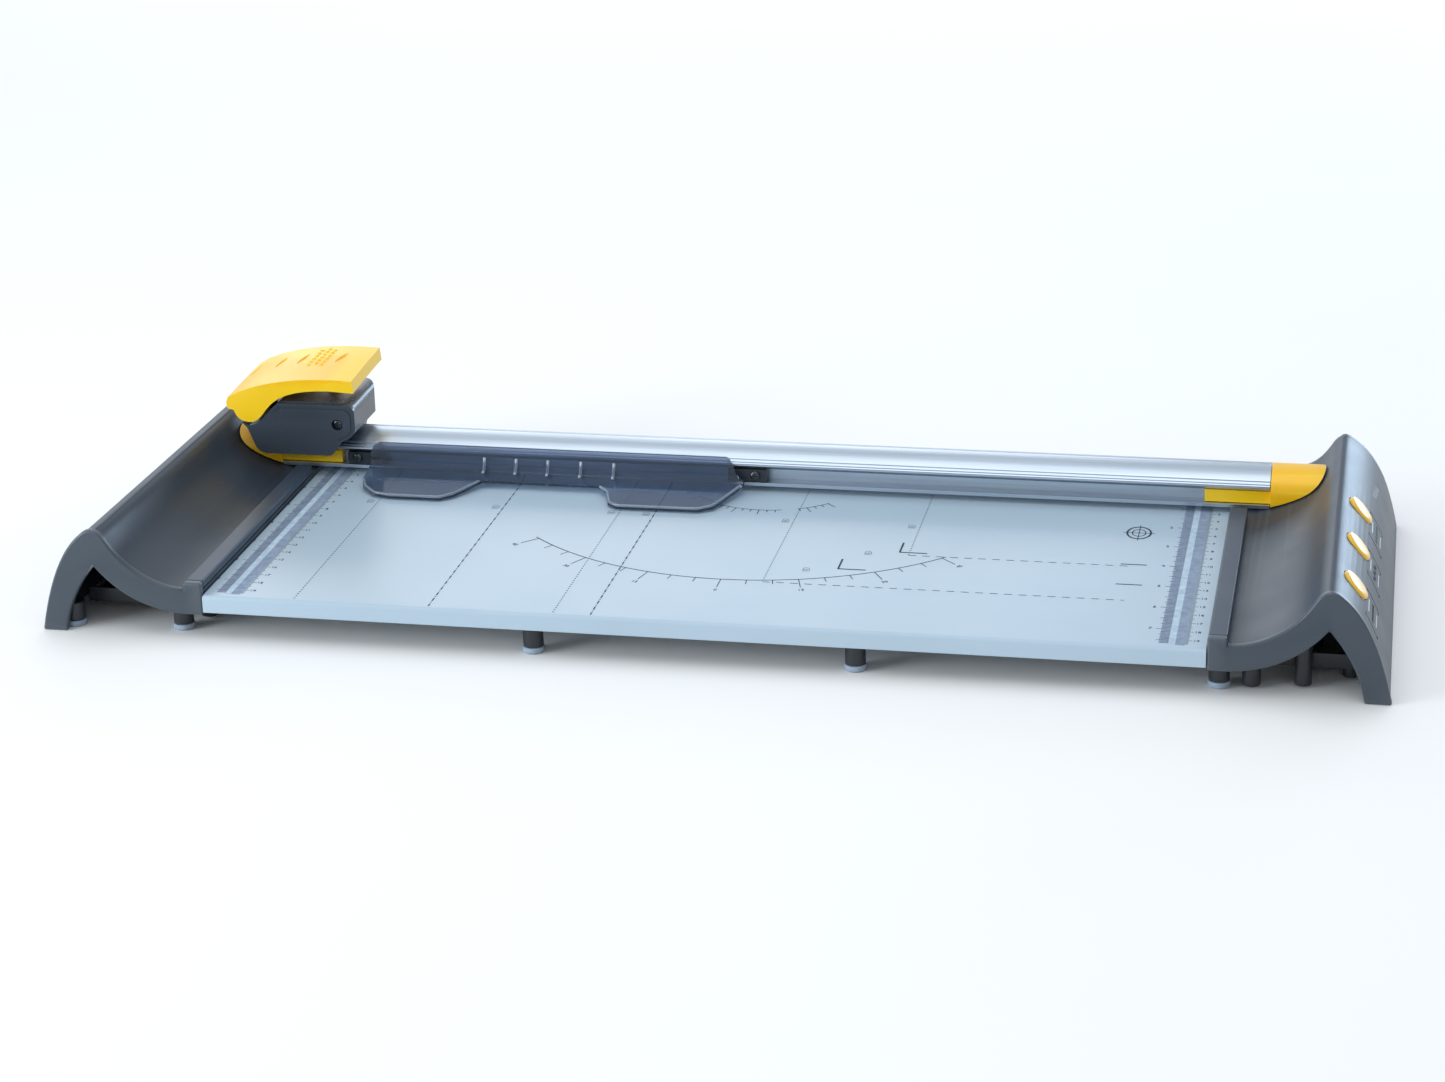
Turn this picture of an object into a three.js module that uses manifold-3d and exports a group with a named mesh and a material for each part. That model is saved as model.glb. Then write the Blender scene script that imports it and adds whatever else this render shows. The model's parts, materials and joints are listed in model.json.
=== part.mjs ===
// Rotary paper trimmer: a flat board between two raised end casings, an aluminium rail
// across the back, a carriage with a hand lever and a round blade that runs along the rail,
// and a clear paper guide on the rail's front.
// Millimetres, +Z up. The origin is on the table under the middle of the trimmer.
// +X runs along the cut to the right, +Y points to the back.
import * as THREE from 'three';
import { mergeVertices } from 'three/addons/utils/BufferGeometryUtils.js';
import Module from 'manifold-3d';

const wasm = await Module();
wasm.setup();

// ---------------------------------------------------------------- driving dimensions
const HALF_DEPTH = 112; // casings reach from -112 to +112
const CUT_Y = 88; // the blade's line
const GAP = 0.3; // clearance between neighbouring pieces

const BOARD_HALF = 230.4;
const BOARD_TOP = 21.3;
const BOARD_EDGE_Z = 13;
const SHEET = 1.5; // thickness of the folded board
const MAT_HALF_WIDTH = 4;
const MAT_HALF_LENGTH = 255;
const MAT_THICKNESS = 1.2;

const CASING_INNER = 230.9;
const CASING_INSET = 0.9; // the casing and its rear plate lie this much inside the front plate
const REAR_DROP = 4.1; // the ridge is this much lower at the back than at the front
const PLATE_THICKNESS = 4;
const FENCE_OUTER = 239.2;
const FENCE_TOP = 27.5;
const FENCE_BACK = 53;
const LEDGE_Z = 23.9; // top of the swoop's flat start, next to the board
const LEDGE_UNDER = 20.6;
const CASING_BOTTOM = 11.6; // lower edge of the casing's inner side
const TRAY = { x0: 234, x1: 296, y0: -88, y1: 100, z0: 6, z1: 8.4, wall: 2, wallTop: 13 };

const RAIL_HALF = 249;
const RAIL_BOTTOM = 24.2;
const RAIL_REAR = -3; // from the cut line
const SLOT = { z0: 25.9, z1: 32.6, back: -20 };
const STOP_INNER = 218;

const TRAVEL_START = -237; // the blade's place with the carriage at the left stop
const BLADE_RADIUS = 14;
const BLADE_LIFT = 2.1; // how far the blade goes down when the lever is pressed
const BLADE_Z = BOARD_TOP + 0.1 + BLADE_LIFT + BLADE_RADIUS;

const PIVOT = { x: -262, z: 56.2 }; // the lever's hinge pin
const PIN_RADIUS = 1.5;
const LEVER_FRONT = -36; // from the cut line
const LEVER_BACK = 13;
const PLUNGER = { x: -230, y: 5.7 };

const BUTTON_RADIUS = 7.5;
const BUTTON_Y = [-78, -29.2, 19.6];
const BUTTON_AT = { x: 293.2, z: 42.9 }; // a point on each button's axis, just under the leg
const BUTTON_PROUD = 1; // how far a button's top lies beyond that point
const BUTTON_DEPTH = 7; // how far it reaches inwards from that point
const BUTTON_OUT = new THREE.Vector3(0.765, 0, 0.644).normalize();

// ---------------------------------------------------------------- materials
const plastic = (color, roughness) => ({ color, roughness, metalness: 0 });
const metal = (color, roughness) => ({ color, roughness, metalness: 1 });
const LOOKS = {
  casing: plastic(0x5c6672, 0.35),
  endPlate: plastic(0x3c444c, 0.45),
  fence: plastic(0x4a4f55, 0.45),
  board: { color: 0xc3d2e2, roughness: 0.35, metalness: 0.2 },
  mat: plastic(0x7c8794, 0.7),
  black: plastic(0x1d2127, 0.35),
  carriage: plastic(0x252b33, 0.3),
  yellow: plastic(0xf7c600, 0.35),
  nylon: plastic(0xe6e6e0, 0.5),
  rubber: plastic(0x93a0b0, 0.8),
  aluminium: metal(0xb9c3ca, 0.35),
  steel: metal(0xc4c7ca, 0.25),
  clear: { color: 0x3a4658, roughness: 0.1, metalness: 0, transparent: true, opacity: 0.6 },
};

// ---------------------------------------------------------------- helpers
const object = new THREE.Group();
const cutLine = new THREE.Group(); // everything on the rail, measured from the blade's line
cutLine.position.y = CUT_Y;
object.add(cutLine);

function add(parent, name, geometry, look) {
  const mesh = new THREE.Mesh(geometry, new THREE.MeshStandardMaterial(LOOKS[look]));
  mesh.name = name;
  parent.add(mesh);
}

function merged(geometry) {
  const bare = geometry.clone();
  bare.deleteAttribute('normal');
  bare.deleteAttribute('uv');
  return mergeVertices(bare, 1e-4);
}

function toSolid(geometry) {
  const clean = merged(geometry);
  return new wasm.Manifold(new wasm.Mesh({
    numProp: 3,
    vertProperties: new Float32Array(clean.attributes.position.array),
    triVerts: new Uint32Array(clean.index.array),
  }));
}

function toGeometry(solid) {
  const mesh = solid.getMesh();
  const geometry = new THREE.BufferGeometry();
  geometry.setAttribute('position', new THREE.BufferAttribute(mesh.vertProperties, 3));
  geometry.setIndex(new THREE.BufferAttribute(mesh.triVerts, 1));
  geometry.computeVertexNormals();
  return geometry;
}

const joined = (first, ...others) =>
  toGeometry(others.reduce((sum, part) => sum.add(toSolid(part)), toSolid(first)));
const cut = (first, ...others) =>
  toGeometry(others.reduce((rest, part) => rest.subtract(toSolid(part)), toSolid(first)));
const common = (first, ...others) =>
  toGeometry(others.reduce((rest, part) => rest.intersect(toSolid(part)), toSolid(first)));

function mirroredX(geometry) {
  const copy = merged(geometry);
  copy.scale(-1, 1, 1);
  const index = copy.index;
  for (let i = 0; i < index.count; i += 3) {
    const second = index.getX(i + 1);
    index.setX(i + 1, index.getX(i + 2));
    index.setX(i + 2, second);
  }
  copy.computeVertexNormals();
  return copy;
}

// Right-hand shapes serve the left end mirrored.
const onSide = (side, geometry) => (side < 0 ? mirroredX(geometry) : geometry);
const SIDES = [['left', -1], ['right', 1]];

const polygon = (points) => new THREE.Shape(points.map(([u, v]) => new THREE.Vector2(u, v)));

function extruded(shape, depth, segments, steps = 1) {
  return new THREE.ExtrudeGeometry(shape, {
    depth,
    steps,
    bevelEnabled: false,
    curveSegments: segments,
  });
}

// Shape in (y, z), carried along X.
function alongX(shape, x0, x1, segments = 8) {
  const turn = new THREE.Matrix4().makeBasis(
    new THREE.Vector3(0, 1, 0),
    new THREE.Vector3(0, 0, 1),
    new THREE.Vector3(1, 0, 0),
  );
  return extruded(shape, x1 - x0, segments).applyMatrix4(turn).translate(x0, 0, 0);
}

// Shape in (x, z), carried along Y.
function alongY(shape, y0, y1, segments = 8, steps = 1) {
  return extruded(shape, y1 - y0, segments, steps).rotateX(Math.PI / 2).translate(0, y1, 0);
}

// Shape in (x, y), carried along Z.
function alongZ(shape, z0, z1, segments = 8) {
  return extruded(shape, z1 - z0, segments).translate(0, 0, z0);
}

function box(x0, x1, y0, y1, z0, z1) {
  return new THREE.BoxGeometry(x1 - x0, y1 - y0, z1 - z0)
    .translate((x0 + x1) / 2, (y0 + y1) / 2, (z0 + z1) / 2);
}

function uprightRod(x, y, z0, z1, radius, sides = 24) {
  return new THREE.CylinderGeometry(radius, radius, z1 - z0, sides)
    .rotateX(Math.PI / 2)
    .translate(x, y, (z0 + z1) / 2);
}

function crossRod(x, z, y0, y1, radius, sides = 24) {
  return new THREE.CylinderGeometry(radius, radius, y1 - y0, sides)
    .translate(x, (y0 + y1) / 2, z);
}

// ---------------------------------------------------------------- end casings
// Points of the casing's outer contour with the outward direction at each.
const SWOOP = [[239.4, LEDGE_Z, 0, 1], [254, LEDGE_Z, 0, 1], [268, 33, -0.6, 0.8],
  [275.6, 45.3, -0.85, 0.53]];
const RIDGE = [281.2, 54.8, -0.1, 1];
const LEG = [[288.2, 48.6, 0.62, 0.78], [302.8, 37, 0.8, 0.6], [310.6, 0, 1, 0]];
const inset = ([x, z, outX, outZ], by) => [x - by * outX, z - by * outZ];

// How far a point on the casing is lowered toward the back: nothing at the board and at the
// table, the whole drop at the ridge.
function dropAt(x, y, z) {
  const back = (y + HALF_DEPTH) / (2 * HALF_DEPTH);
  const onLeg = THREE.MathUtils.clamp((z - LEDGE_Z) / (RIDGE[1] - LEDGE_Z), 0, 1);
  const onSwoop = THREE.MathUtils.smoothstep(z, LEDGE_Z, 40);
  return REAR_DROP * back * (x > RIDGE[0] ? onLeg : onSwoop);
}

function loweredToBack(geometry, originY = 0) {
  const position = geometry.attributes.position;
  for (let i = 0; i < position.count; i += 1) {
    const [x, y, z] = [position.getX(i), position.getY(i) + originY, position.getZ(i)];
    position.setZ(i, z - dropAt(x, y, z));
  }
  return geometry;
}

function drawSwoop(shape, by) {
  const [start, bendA, bendB, end] = SWOOP.map((point) => inset(point, by));
  shape.lineTo(...start);
  shape.bezierCurveTo(...bendA, ...bendB, ...end);
}

function drawRidgeAndLeg(shape, by) {
  const [top, bulge, foot] = LEG.map((point) => inset(point, by));
  shape.quadraticCurveTo(...inset(RIDGE, by), ...top);
  shape.quadraticCurveTo(...bulge, ...foot);
}

// The end plate shows the casing's profile: a leg, a ridge and a swoop down to the board.
// The front one stands proud of the casing and carries a block in line with the fence; the
// rear one is flush with the casing.
function endPlate(y0, isFront) {
  const shape = new THREE.Shape();
  const by = isFront ? 0 : CASING_INSET;
  shape.moveTo(CASING_INNER - 0.2, CASING_BOTTOM);
  shape.lineTo(CASING_INNER - 0.2, isFront ? FENCE_TOP : LEDGE_Z - by);
  if (isFront) {
    shape.lineTo(FENCE_OUTER, FENCE_TOP);
  }
  drawSwoop(shape, by);
  drawRidgeAndLeg(shape, by);
  shape.lineTo(298.6, 0);
  shape.quadraticCurveTo(296, 17.5, 282.6, 33);
  shape.bezierCurveTo(272, 20, 258, 12.5, 240, CASING_BOTTOM);
  return loweredToBack(alongY(shape, y0, y0 + PLATE_THICKNESS, 12));
}

function casingHollow() {
  const shape = new THREE.Shape();
  shape.moveTo(233.6, -1);
  shape.lineTo(233.6, LEDGE_UNDER);
  shape.lineTo(240, LEDGE_UNDER);
  shape.bezierCurveTo(255, LEDGE_UNDER, 270, 30.5, 281.3, 46.2);
  shape.quadraticCurveTo(299.6, 34.5, 307.2, -1);
  return loweredToBack(alongY(shape, -HALF_DEPTH, HALF_DEPTH, 12));
}

function buttonRod(y, from, to, radius) {
  const rod = new THREE.CylinderGeometry(radius, radius, to - from, 32);
  rod.translate(0, (from + to) / 2, 0);
  rod.applyQuaternion(new THREE.Quaternion().setFromUnitVectors(
    new THREE.Vector3(0, 1, 0), BUTTON_OUT));
  return rod.translate(BUTTON_AT.x, y, BUTTON_AT.z - dropAt(BUTTON_AT.x, y, BUTTON_AT.z));
}

function casing(side) {
  const reach = HALF_DEPTH - PLATE_THICKNESS - GAP;
  const shape = new THREE.Shape();
  shape.moveTo(CASING_INNER, 12);
  shape.lineTo(CASING_INNER, LEDGE_Z - CASING_INSET);
  drawSwoop(shape, CASING_INSET);
  drawRidgeAndLeg(shape, CASING_INSET);
  shape.lineTo(306.5, 0);
  shape.lineTo(306.5, -2);
  shape.lineTo(CASING_INNER + 1, -2);
  const belowTable = box(220, 320, -HALF_DEPTH, HALF_DEPTH, -5, 0);
  const belowWall = box(220, 236, -HALF_DEPTH, HALF_DEPTH, -5, 12);
  const bladeSlot = box(229, 258, CUT_Y - 5.5, CUT_Y + 5.5, 18, 40);
  const railSeat = box(CASING_INNER - 1, RAIL_HALF + GAP, CUT_Y - 28, CUT_Y - 2,
    RAIL_BOTTOM - GAP, 40);
  const screwHole = uprightRod(RAIL_SCREW.x, CUT_Y + RAIL_SCREW.y, 15, 30, 2.2);
  const buttonHoles = side > 0
    ? BUTTON_Y.map((y) => buttonRod(y, -9.5, 10, BUTTON_RADIUS + 0.4))
    : [];
  const block = loweredToBack(alongY(shape, -reach, reach, 12));
  const shell = cut(block, casingHollow(), belowTable, belowWall, bladeSlot, railSeat,
    screwHole, ...buttonHoles);
  return onSide(side, shell);
}

function bottomTray(side) {
  const floor = box(TRAY.x0, TRAY.x1, TRAY.y0, TRAY.y1, TRAY.z0, TRAY.z1);
  const frontWall = box(TRAY.x0, TRAY.x1, TRAY.y0, TRAY.y0 + TRAY.wall, TRAY.z0, TRAY.wallTop);
  const backWall = box(TRAY.x0, TRAY.x1, TRAY.y1 - TRAY.wall, TRAY.y1, TRAY.z0, TRAY.wallTop);
  return onSide(side, joined(floor, frontWall, backWall));
}

// ---------------------------------------------------------------- feet and posts
const FOOT_RADIUS = 5;
const FOOT_HEIGHT = 3;

function rubberFoot(x, y) {
  const profile = [[0, 0], [FOOT_RADIUS - 0.6, 0], [FOOT_RADIUS, 0.6], [FOOT_RADIUS, FOOT_HEIGHT],
    [0, FOOT_HEIGHT]];
  return new THREE.LatheGeometry(profile.map(([r, z]) => new THREE.Vector2(r, z)), 28)
    .rotateX(Math.PI / 2)
    .translate(x, y, 0);
}

const POST_RADIUS = 4.7;
// Posts under the casings: place, height of the upper end, radius, and a rubber tip or none.
const CASING_POSTS = [
  { name: 'left_corner_post', x: -297.6, y: -102.6, top: 12, radius: POST_RADIUS, tipped: true },
  { name: 'left_front_post', x: -244.8, y: -100, top: 20.2, radius: POST_RADIUS, tipped: true },
  { name: 'left_tray_post', x: -237.5, y: -85, top: TRAY.z0 - GAP, radius: 4.2, tipped: false },
  { name: 'right_front_post', x: 235.6, y: -100, top: 11.6, radius: POST_RADIUS, tipped: true },
  { name: 'right_second_post', x: 249.6, y: -99, top: 20.2, radius: 4.1, tipped: false },
  { name: 'right_third_post', x: 271.8, y: -95.5, top: 26, radius: 3.9, tipped: false },
  { name: 'right_tray_post', x: 292, y: -83, top: TRAY.z0 - GAP, radius: 3.7, tipped: false },
];
const POST_CLEARANCE = 1.2; // an untipped post stops this far above the table

// ---------------------------------------------------------------- board
const BOARD_FOOT_X = 74.5;
const RECESS = MAT_HALF_WIDTH + GAP;

function board() {
  const bend = 2;
  const under = BOARD_TOP - SHEET;
  const front = -HALF_DEPTH;
  const back = HALF_DEPTH - 1;
  const shape = new THREE.Shape();
  shape.moveTo(front, BOARD_EDGE_Z);
  shape.lineTo(front, BOARD_TOP - bend);
  shape.quadraticCurveTo(front, BOARD_TOP, front + bend, BOARD_TOP);
  shape.lineTo(CUT_Y - RECESS, BOARD_TOP);
  shape.lineTo(CUT_Y - RECESS, under);
  shape.lineTo(CUT_Y + RECESS, under);
  shape.lineTo(CUT_Y + RECESS, BOARD_TOP);
  shape.lineTo(back, BOARD_TOP);
  shape.lineTo(back, BOARD_EDGE_Z);
  shape.lineTo(back - SHEET, BOARD_EDGE_Z);
  shape.lineTo(back - SHEET, under);
  shape.lineTo(CUT_Y + RECESS + SHEET, under);
  shape.lineTo(CUT_Y + RECESS + SHEET, under - SHEET);
  shape.lineTo(CUT_Y - RECESS - SHEET, under - SHEET);
  shape.lineTo(CUT_Y - RECESS - SHEET, under);
  shape.lineTo(front + SHEET, under);
  shape.lineTo(front + SHEET, BOARD_EDGE_Z);
  return alongX(shape, -BOARD_HALF, BOARD_HALF, 6);
}

// A moulded beam under the board's edge with its two foot posts.
function crossMember(y0, y1, postY) {
  const beam = box(-BOARD_HALF, BOARD_HALF, y0, y1, BOARD_EDGE_Z, BOARD_TOP - SHEET - GAP);
  const posts = [-BOARD_FOOT_X, BOARD_FOOT_X].map((x) =>
    uprightRod(x, postY, FOOT_HEIGHT + GAP, BOARD_EDGE_Z + 1, POST_RADIUS));
  return joined(beam, ...posts);
}

// ---------------------------------------------------------------- rail
const RAIL_SCREW = { x: 244.5, y: -14 };
const ARCH = [[-3, 39.7], [-8, 41.2], [-20, 40.6], [-26.3, 35.2]];
const GROOVE = { z0: 29.5, z1: 33.5, depth: 3 };
const WALL = 1.8;
const CAP_FRONT = -27.2;

function drawArch(shape) {
  const [start, bendA, bendB, end] = ARCH;
  shape.lineTo(...start);
  shape.bezierCurveTo(...bendA, ...bendB, ...end);
}

// Hollow extrusion: arched top, an open slot along the front and a groove along the back.
function rail() {
  const outer = new THREE.Shape();
  outer.moveTo(-27, RAIL_BOTTOM);
  outer.lineTo(RAIL_REAR, RAIL_BOTTOM);
  outer.lineTo(RAIL_REAR, GROOVE.z0);
  outer.lineTo(RAIL_REAR - GROOVE.depth, GROOVE.z0);
  outer.lineTo(RAIL_REAR - GROOVE.depth, GROOVE.z1);
  outer.lineTo(RAIL_REAR, GROOVE.z1);
  drawArch(outer);
  outer.lineTo(-26.3, 34.2);
  outer.lineTo(-24.8, SLOT.z1);
  outer.lineTo(SLOT.back, SLOT.z1);
  outer.lineTo(SLOT.back, SLOT.z0);
  outer.lineTo(-27, SLOT.z0);
  const hollow = new THREE.Path();
  hollow.moveTo(SLOT.back + WALL, RAIL_BOTTOM + WALL);
  hollow.lineTo(SLOT.back + WALL, 37);
  hollow.quadraticCurveTo(-12, 39.2, RAIL_REAR - WALL, 38);
  hollow.lineTo(RAIL_REAR - WALL, GROOVE.z1 + WALL);
  hollow.lineTo(RAIL_REAR - GROOVE.depth - WALL, GROOVE.z1 + WALL);
  hollow.lineTo(RAIL_REAR - GROOVE.depth - WALL, GROOVE.z0 - WALL);
  hollow.lineTo(RAIL_REAR - WALL, GROOVE.z0 - WALL);
  hollow.lineTo(RAIL_REAR - WALL, RAIL_BOTTOM + WALL);
  outer.holes.push(hollow);
  const holes = [-RAIL_SCREW.x, RAIL_SCREW.x].map((x) =>
    uprightRod(x, RAIL_SCREW.y, RAIL_BOTTOM - 1, RAIL_BOTTOM + WALL + 1, 2.2));
  return cut(alongX(outer, -RAIL_HALF, RAIL_HALF, 12), ...holes);
}

// A cap fills the rail's end down to the casing's swoop, and its tongue closes the slot's end.
function railCap(side) {
  const outline = new THREE.Shape();
  outline.moveTo(CAP_FRONT, RAIL_BOTTOM + 0.2);
  outline.lineTo(RAIL_REAR, RAIL_BOTTOM + 0.2);
  outline.lineTo(RAIL_REAR, ARCH[0][1]);
  outline.bezierCurveTo(-9, 41.3, -19, 41.2, -24, 37.4);
  outline.quadraticCurveTo(CAP_FRONT, 34.6, CAP_FRONT, 29);
  const aboveSwoop = new THREE.Shape();
  aboveSwoop.moveTo(SWOOP[0][0], 60);
  drawSwoop(aboveSwoop, 0);
  aboveSwoop.lineTo(278.7, 60);
  const body = common(
    alongX(outline, RAIL_HALF + GAP, 279, 12),
    loweredToBack(alongY(aboveSwoop, -40, 10, 12), CUT_Y),
  );
  const tongue = box(STOP_INNER, RAIL_HALF + 1, -25, SLOT.back - GAP, SLOT.z0 + GAP, SLOT.z1 - GAP);
  return onSide(side, joined(body, tongue));
}

function railScrew(side) {
  const x = side * RAIL_SCREW.x;
  return joined(
    uprightRod(x, RAIL_SCREW.y, LEDGE_UNDER - 2.6, LEDGE_UNDER - GAP, 3.6),
    uprightRod(x, RAIL_SCREW.y, LEDGE_UNDER - 1, 33, 1.8),
  );
}

// ---------------------------------------------------------------- clear paper guide
// Midline of the guide's section from the rail's arch down to the board.
const GUIDE_LINE = [[-24.6, 37.6], [-26.7, 36.2], [-28.1, 34.3], [-28.7, 32], [-28.9, 29.5],
  [-30.5, 27], [-34, 25.6], [-38, 25], [-50, 23.6], [-64, 22.6]];
const GUIDE_THICKNESS = 1.2;
const GUIDE_LEFT = -201.5;
const GUIDE_RIGHT = -8;
const RIB_X = [-141.5, -125, -108.5, -91.5, -74.5];

function strip(points, thickness) {
  const sideOf = (sign) => points.map(([u, v], i) => {
    const before = points[Math.max(i - 1, 0)];
    const after = points[Math.min(i + 1, points.length - 1)];
    const length = Math.hypot(after[0] - before[0], after[1] - before[1]);
    const across = [-(after[1] - before[1]) / length, (after[0] - before[0]) / length];
    const shift = (sign * thickness) / 2;
    return [u + across[0] * shift, v + across[1] * shift];
  });
  return polygon([...sideOf(1), ...sideOf(-1).reverse()]);
}

function paperGuide() {
  const band = alongX(strip(GUIDE_LINE, GUIDE_THICKNESS), GUIDE_LEFT, GUIDE_RIGHT);
  const plan = alongZ(polygon([[GUIDE_LEFT, -10], [GUIDE_LEFT, -44], [-198.5, -53], [-191, -61],
    [-182, -63], [-156, -63], [-150, -58], [-140, -40.5], [-80, -40.5], [-75, -46], [-71, -59],
    [-66, -63], [-25, -62.5], [-18, -58], [GUIDE_RIGHT, -32], [GUIDE_RIGHT, -10]]),
  10, 50);
  const face = alongY(polygon([[GUIDE_LEFT, 10], [GUIDE_LEFT, 33], [-200.3, 36.4], [-197, 38.4],
    [-192, 40], [-24, 40], [-18, 38.2], [-14.5, 35.4], [-12.8, 31.5], [-11, 28.6],
    [GUIDE_RIGHT, 27], [GUIDE_RIGHT, 10]]), -80, 0);
  const rib = polygon([[-28.4, 34.6], [-29.1, 29.6], [-30.8, 26.9], [-34.8, 25.4]]);
  const ribs = RIB_X.map((x) => alongX(rib, x - 0.6, x + 0.6));
  return joined(common(band, plan, face), ...ribs);
}

const SHOES = [
  { name: 'left_guide_shoe', x0: -214.5, x1: -196, screwX: -209.3 },
  { name: 'right_guide_shoe', x0: -17, x1: 2.5, screwX: -3.2 },
];
const SHOE_FRONT = -26.4;
const SHOE_SCREW_Z = 29.4;

function guideShoe({ x0, x1, screwX }) {
  const body = box(x0, x1, SHOE_FRONT, SLOT.back - GAP, SLOT.z0 + GAP, SLOT.z1 - GAP);
  return cut(body, crossRod(screwX, SHOE_SCREW_Z, SHOE_FRONT - 1, SLOT.back, 1.5));
}

function faceScrew(x, z, front, headRadius, headDepth, length) {
  return joined(
    crossRod(x, z, front, front + headDepth, headRadius),
    crossRod(x, z, front + headDepth / 2, front + length, 1.2),
  );
}

// ---------------------------------------------------------------- carriage
const PLATE_FRONT = LEVER_FRONT;
const PLATE_BACK = -33.6;
const BODY_FRONT = PLATE_BACK + GAP;
const BODY_BACK = 9.7;
const BODY_TOP = 60.6;
const BODY_RIGHT = -207.4;
const CORNER = 10; // radius of the body's right rear corner in plan
const CEILING = 41.6; // underside over the rail
const POCKET = { x0: -252.2, x1: -221.8, y0: -1.4, y1: 8.2, top: 54 };
const KNUCKLE = { y0: -17, y1: -7 };
const GLIDE_BOTTOM = 40.75;
const FRONT_GLIDE = { x0: -250, x1: -222, y0: -17, y1: -7 };
const PLATE_SCREW = { x: -215.9, z: 49.8 };

function carriageBody() {
  const upper = new THREE.Shape();
  upper.moveTo(-213.9, CEILING);
  upper.lineTo(BODY_RIGHT, 45.4);
  upper.lineTo(BODY_RIGHT, 54.6);
  upper.quadraticCurveTo(BODY_RIGHT, BODY_TOP, BODY_RIGHT - 6, BODY_TOP);
  upper.lineTo(-246.5, BODY_TOP);
  upper.lineTo(-250.5, 56.9);
  upper.lineTo(-255, 52);
  upper.quadraticCurveTo(-258.5, 48.2, -263, 47.9);
  upper.lineTo(-265.8, 48.8);
  upper.lineTo(-263.5, 45.6);
  upper.lineTo(-261.6, CEILING);
  const skirt = polygon([[-254, CEILING + 2], [-254, 29], [-252, 27], [-220, 27], [-217, 30],
    [-213.9, CEILING], [-213.9, CEILING + 2]]);
  const knuckle = joined(
    crossRod(PIVOT.x, PIVOT.z, KNUCKLE.y0, KNUCKLE.y1, 6),
    box(-266, -257, KNUCKLE.y0, KNUCKLE.y1, 46, PIVOT.z),
  );
  const plan = new THREE.Shape();
  plan.moveTo(-280, BODY_FRONT - 1);
  plan.lineTo(BODY_RIGHT + 1, BODY_FRONT - 1);
  plan.lineTo(BODY_RIGHT, BODY_BACK - CORNER);
  plan.absarc(BODY_RIGHT - CORNER, BODY_BACK - CORNER, CORNER, 0, Math.PI / 2);
  plan.lineTo(-280, BODY_BACK);
  const whole = joined(
    common(alongY(upper, BODY_FRONT, BODY_BACK, 6), alongZ(plan, 40, 62, 16)),
    alongY(skirt, -2.4, BODY_BACK),
    knuckle,
  );
  return cut(
    whole,
    box(POCKET.x0, POCKET.x1, POCKET.y0, POCKET.y1, 20, POCKET.top),
    box(FRONT_GLIDE.x0 - GAP, FRONT_GLIDE.x1 + GAP, FRONT_GLIDE.y0 - GAP, FRONT_GLIDE.y1 + GAP,
      40, 43.6),
    uprightRod(PLUNGER.x, PLUNGER.y, 50, 65, 2.3),
    crossRod(PIVOT.x, PIVOT.z, -20, 0, PIN_RADIUS + GAP),
    crossRod(PLATE_SCREW.x, PLATE_SCREW.z, -40, -24, 1.5),
  );
}

function frontPlate() {
  const right = -206.4;
  const bottom = 33.2;
  const shape = new THREE.Shape();
  shape.moveTo(-222, bottom);
  shape.quadraticCurveTo(-219.5, bottom, -218, 35.4);
  shape.lineTo(-213.9, 41);
  shape.quadraticCurveTo(right, 43.4, right, 49);
  shape.lineTo(right, 55.6);
  shape.quadraticCurveTo(right, 60.1, -211, 60.1);
  shape.lineTo(-246.7, 60.1);
  shape.lineTo(-250.5, 56.7);
  shape.lineTo(-255, 51.8);
  shape.quadraticCurveTo(-258.5, 48, -263, 47.9);
  shape.lineTo(-266.2, 49.1);
  shape.lineTo(-263.5, 46.2);
  shape.lineTo(-260.3, 37.8);
  shape.quadraticCurveTo(-258.4, bottom, -254, bottom);
  return cut(
    alongY(shape, PLATE_FRONT, PLATE_BACK, 8),
    crossRod(PLATE_SCREW.x, PLATE_SCREW.z, PLATE_FRONT - 1, PLATE_BACK + 1, 2.9),
  );
}

function rearCover() {
  const shape = polygon([[-254, 29], [-252, 27], [-221, 27], [-218.5, 30], [-218.5, 57.5],
    [-221, 59.8], [-246.5, 59.8], [-250.5, 56.7], [-254, 53]]);
  return alongY(shape, BODY_BACK + GAP, BODY_BACK + GAP + 1.8);
}

function frontGlide() {
  return box(FRONT_GLIDE.x0, FRONT_GLIDE.x1, FRONT_GLIDE.y0, FRONT_GLIDE.y1, GLIDE_BOTTOM, 43.3);
}

function rearGlide() {
  return box(-247, -226, RAIL_REAR - GROOVE.depth + GAP, -2.7, GROOVE.z0 + 0.4, GROOVE.z1 - 0.4);
}

// ---------------------------------------------------------------- lever
// The top is crowned: it rises from the front edge to the back edge.
const CROWN = 2.6;

function crown(y) {
  const share = (y - LEVER_FRONT) / (LEVER_BACK - LEVER_FRONT);
  return CROWN * (1.5 * share - 0.5 * share * share);
}

const LEVER_UNDER = 66.6; // underside over the plunger, before the crown

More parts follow.
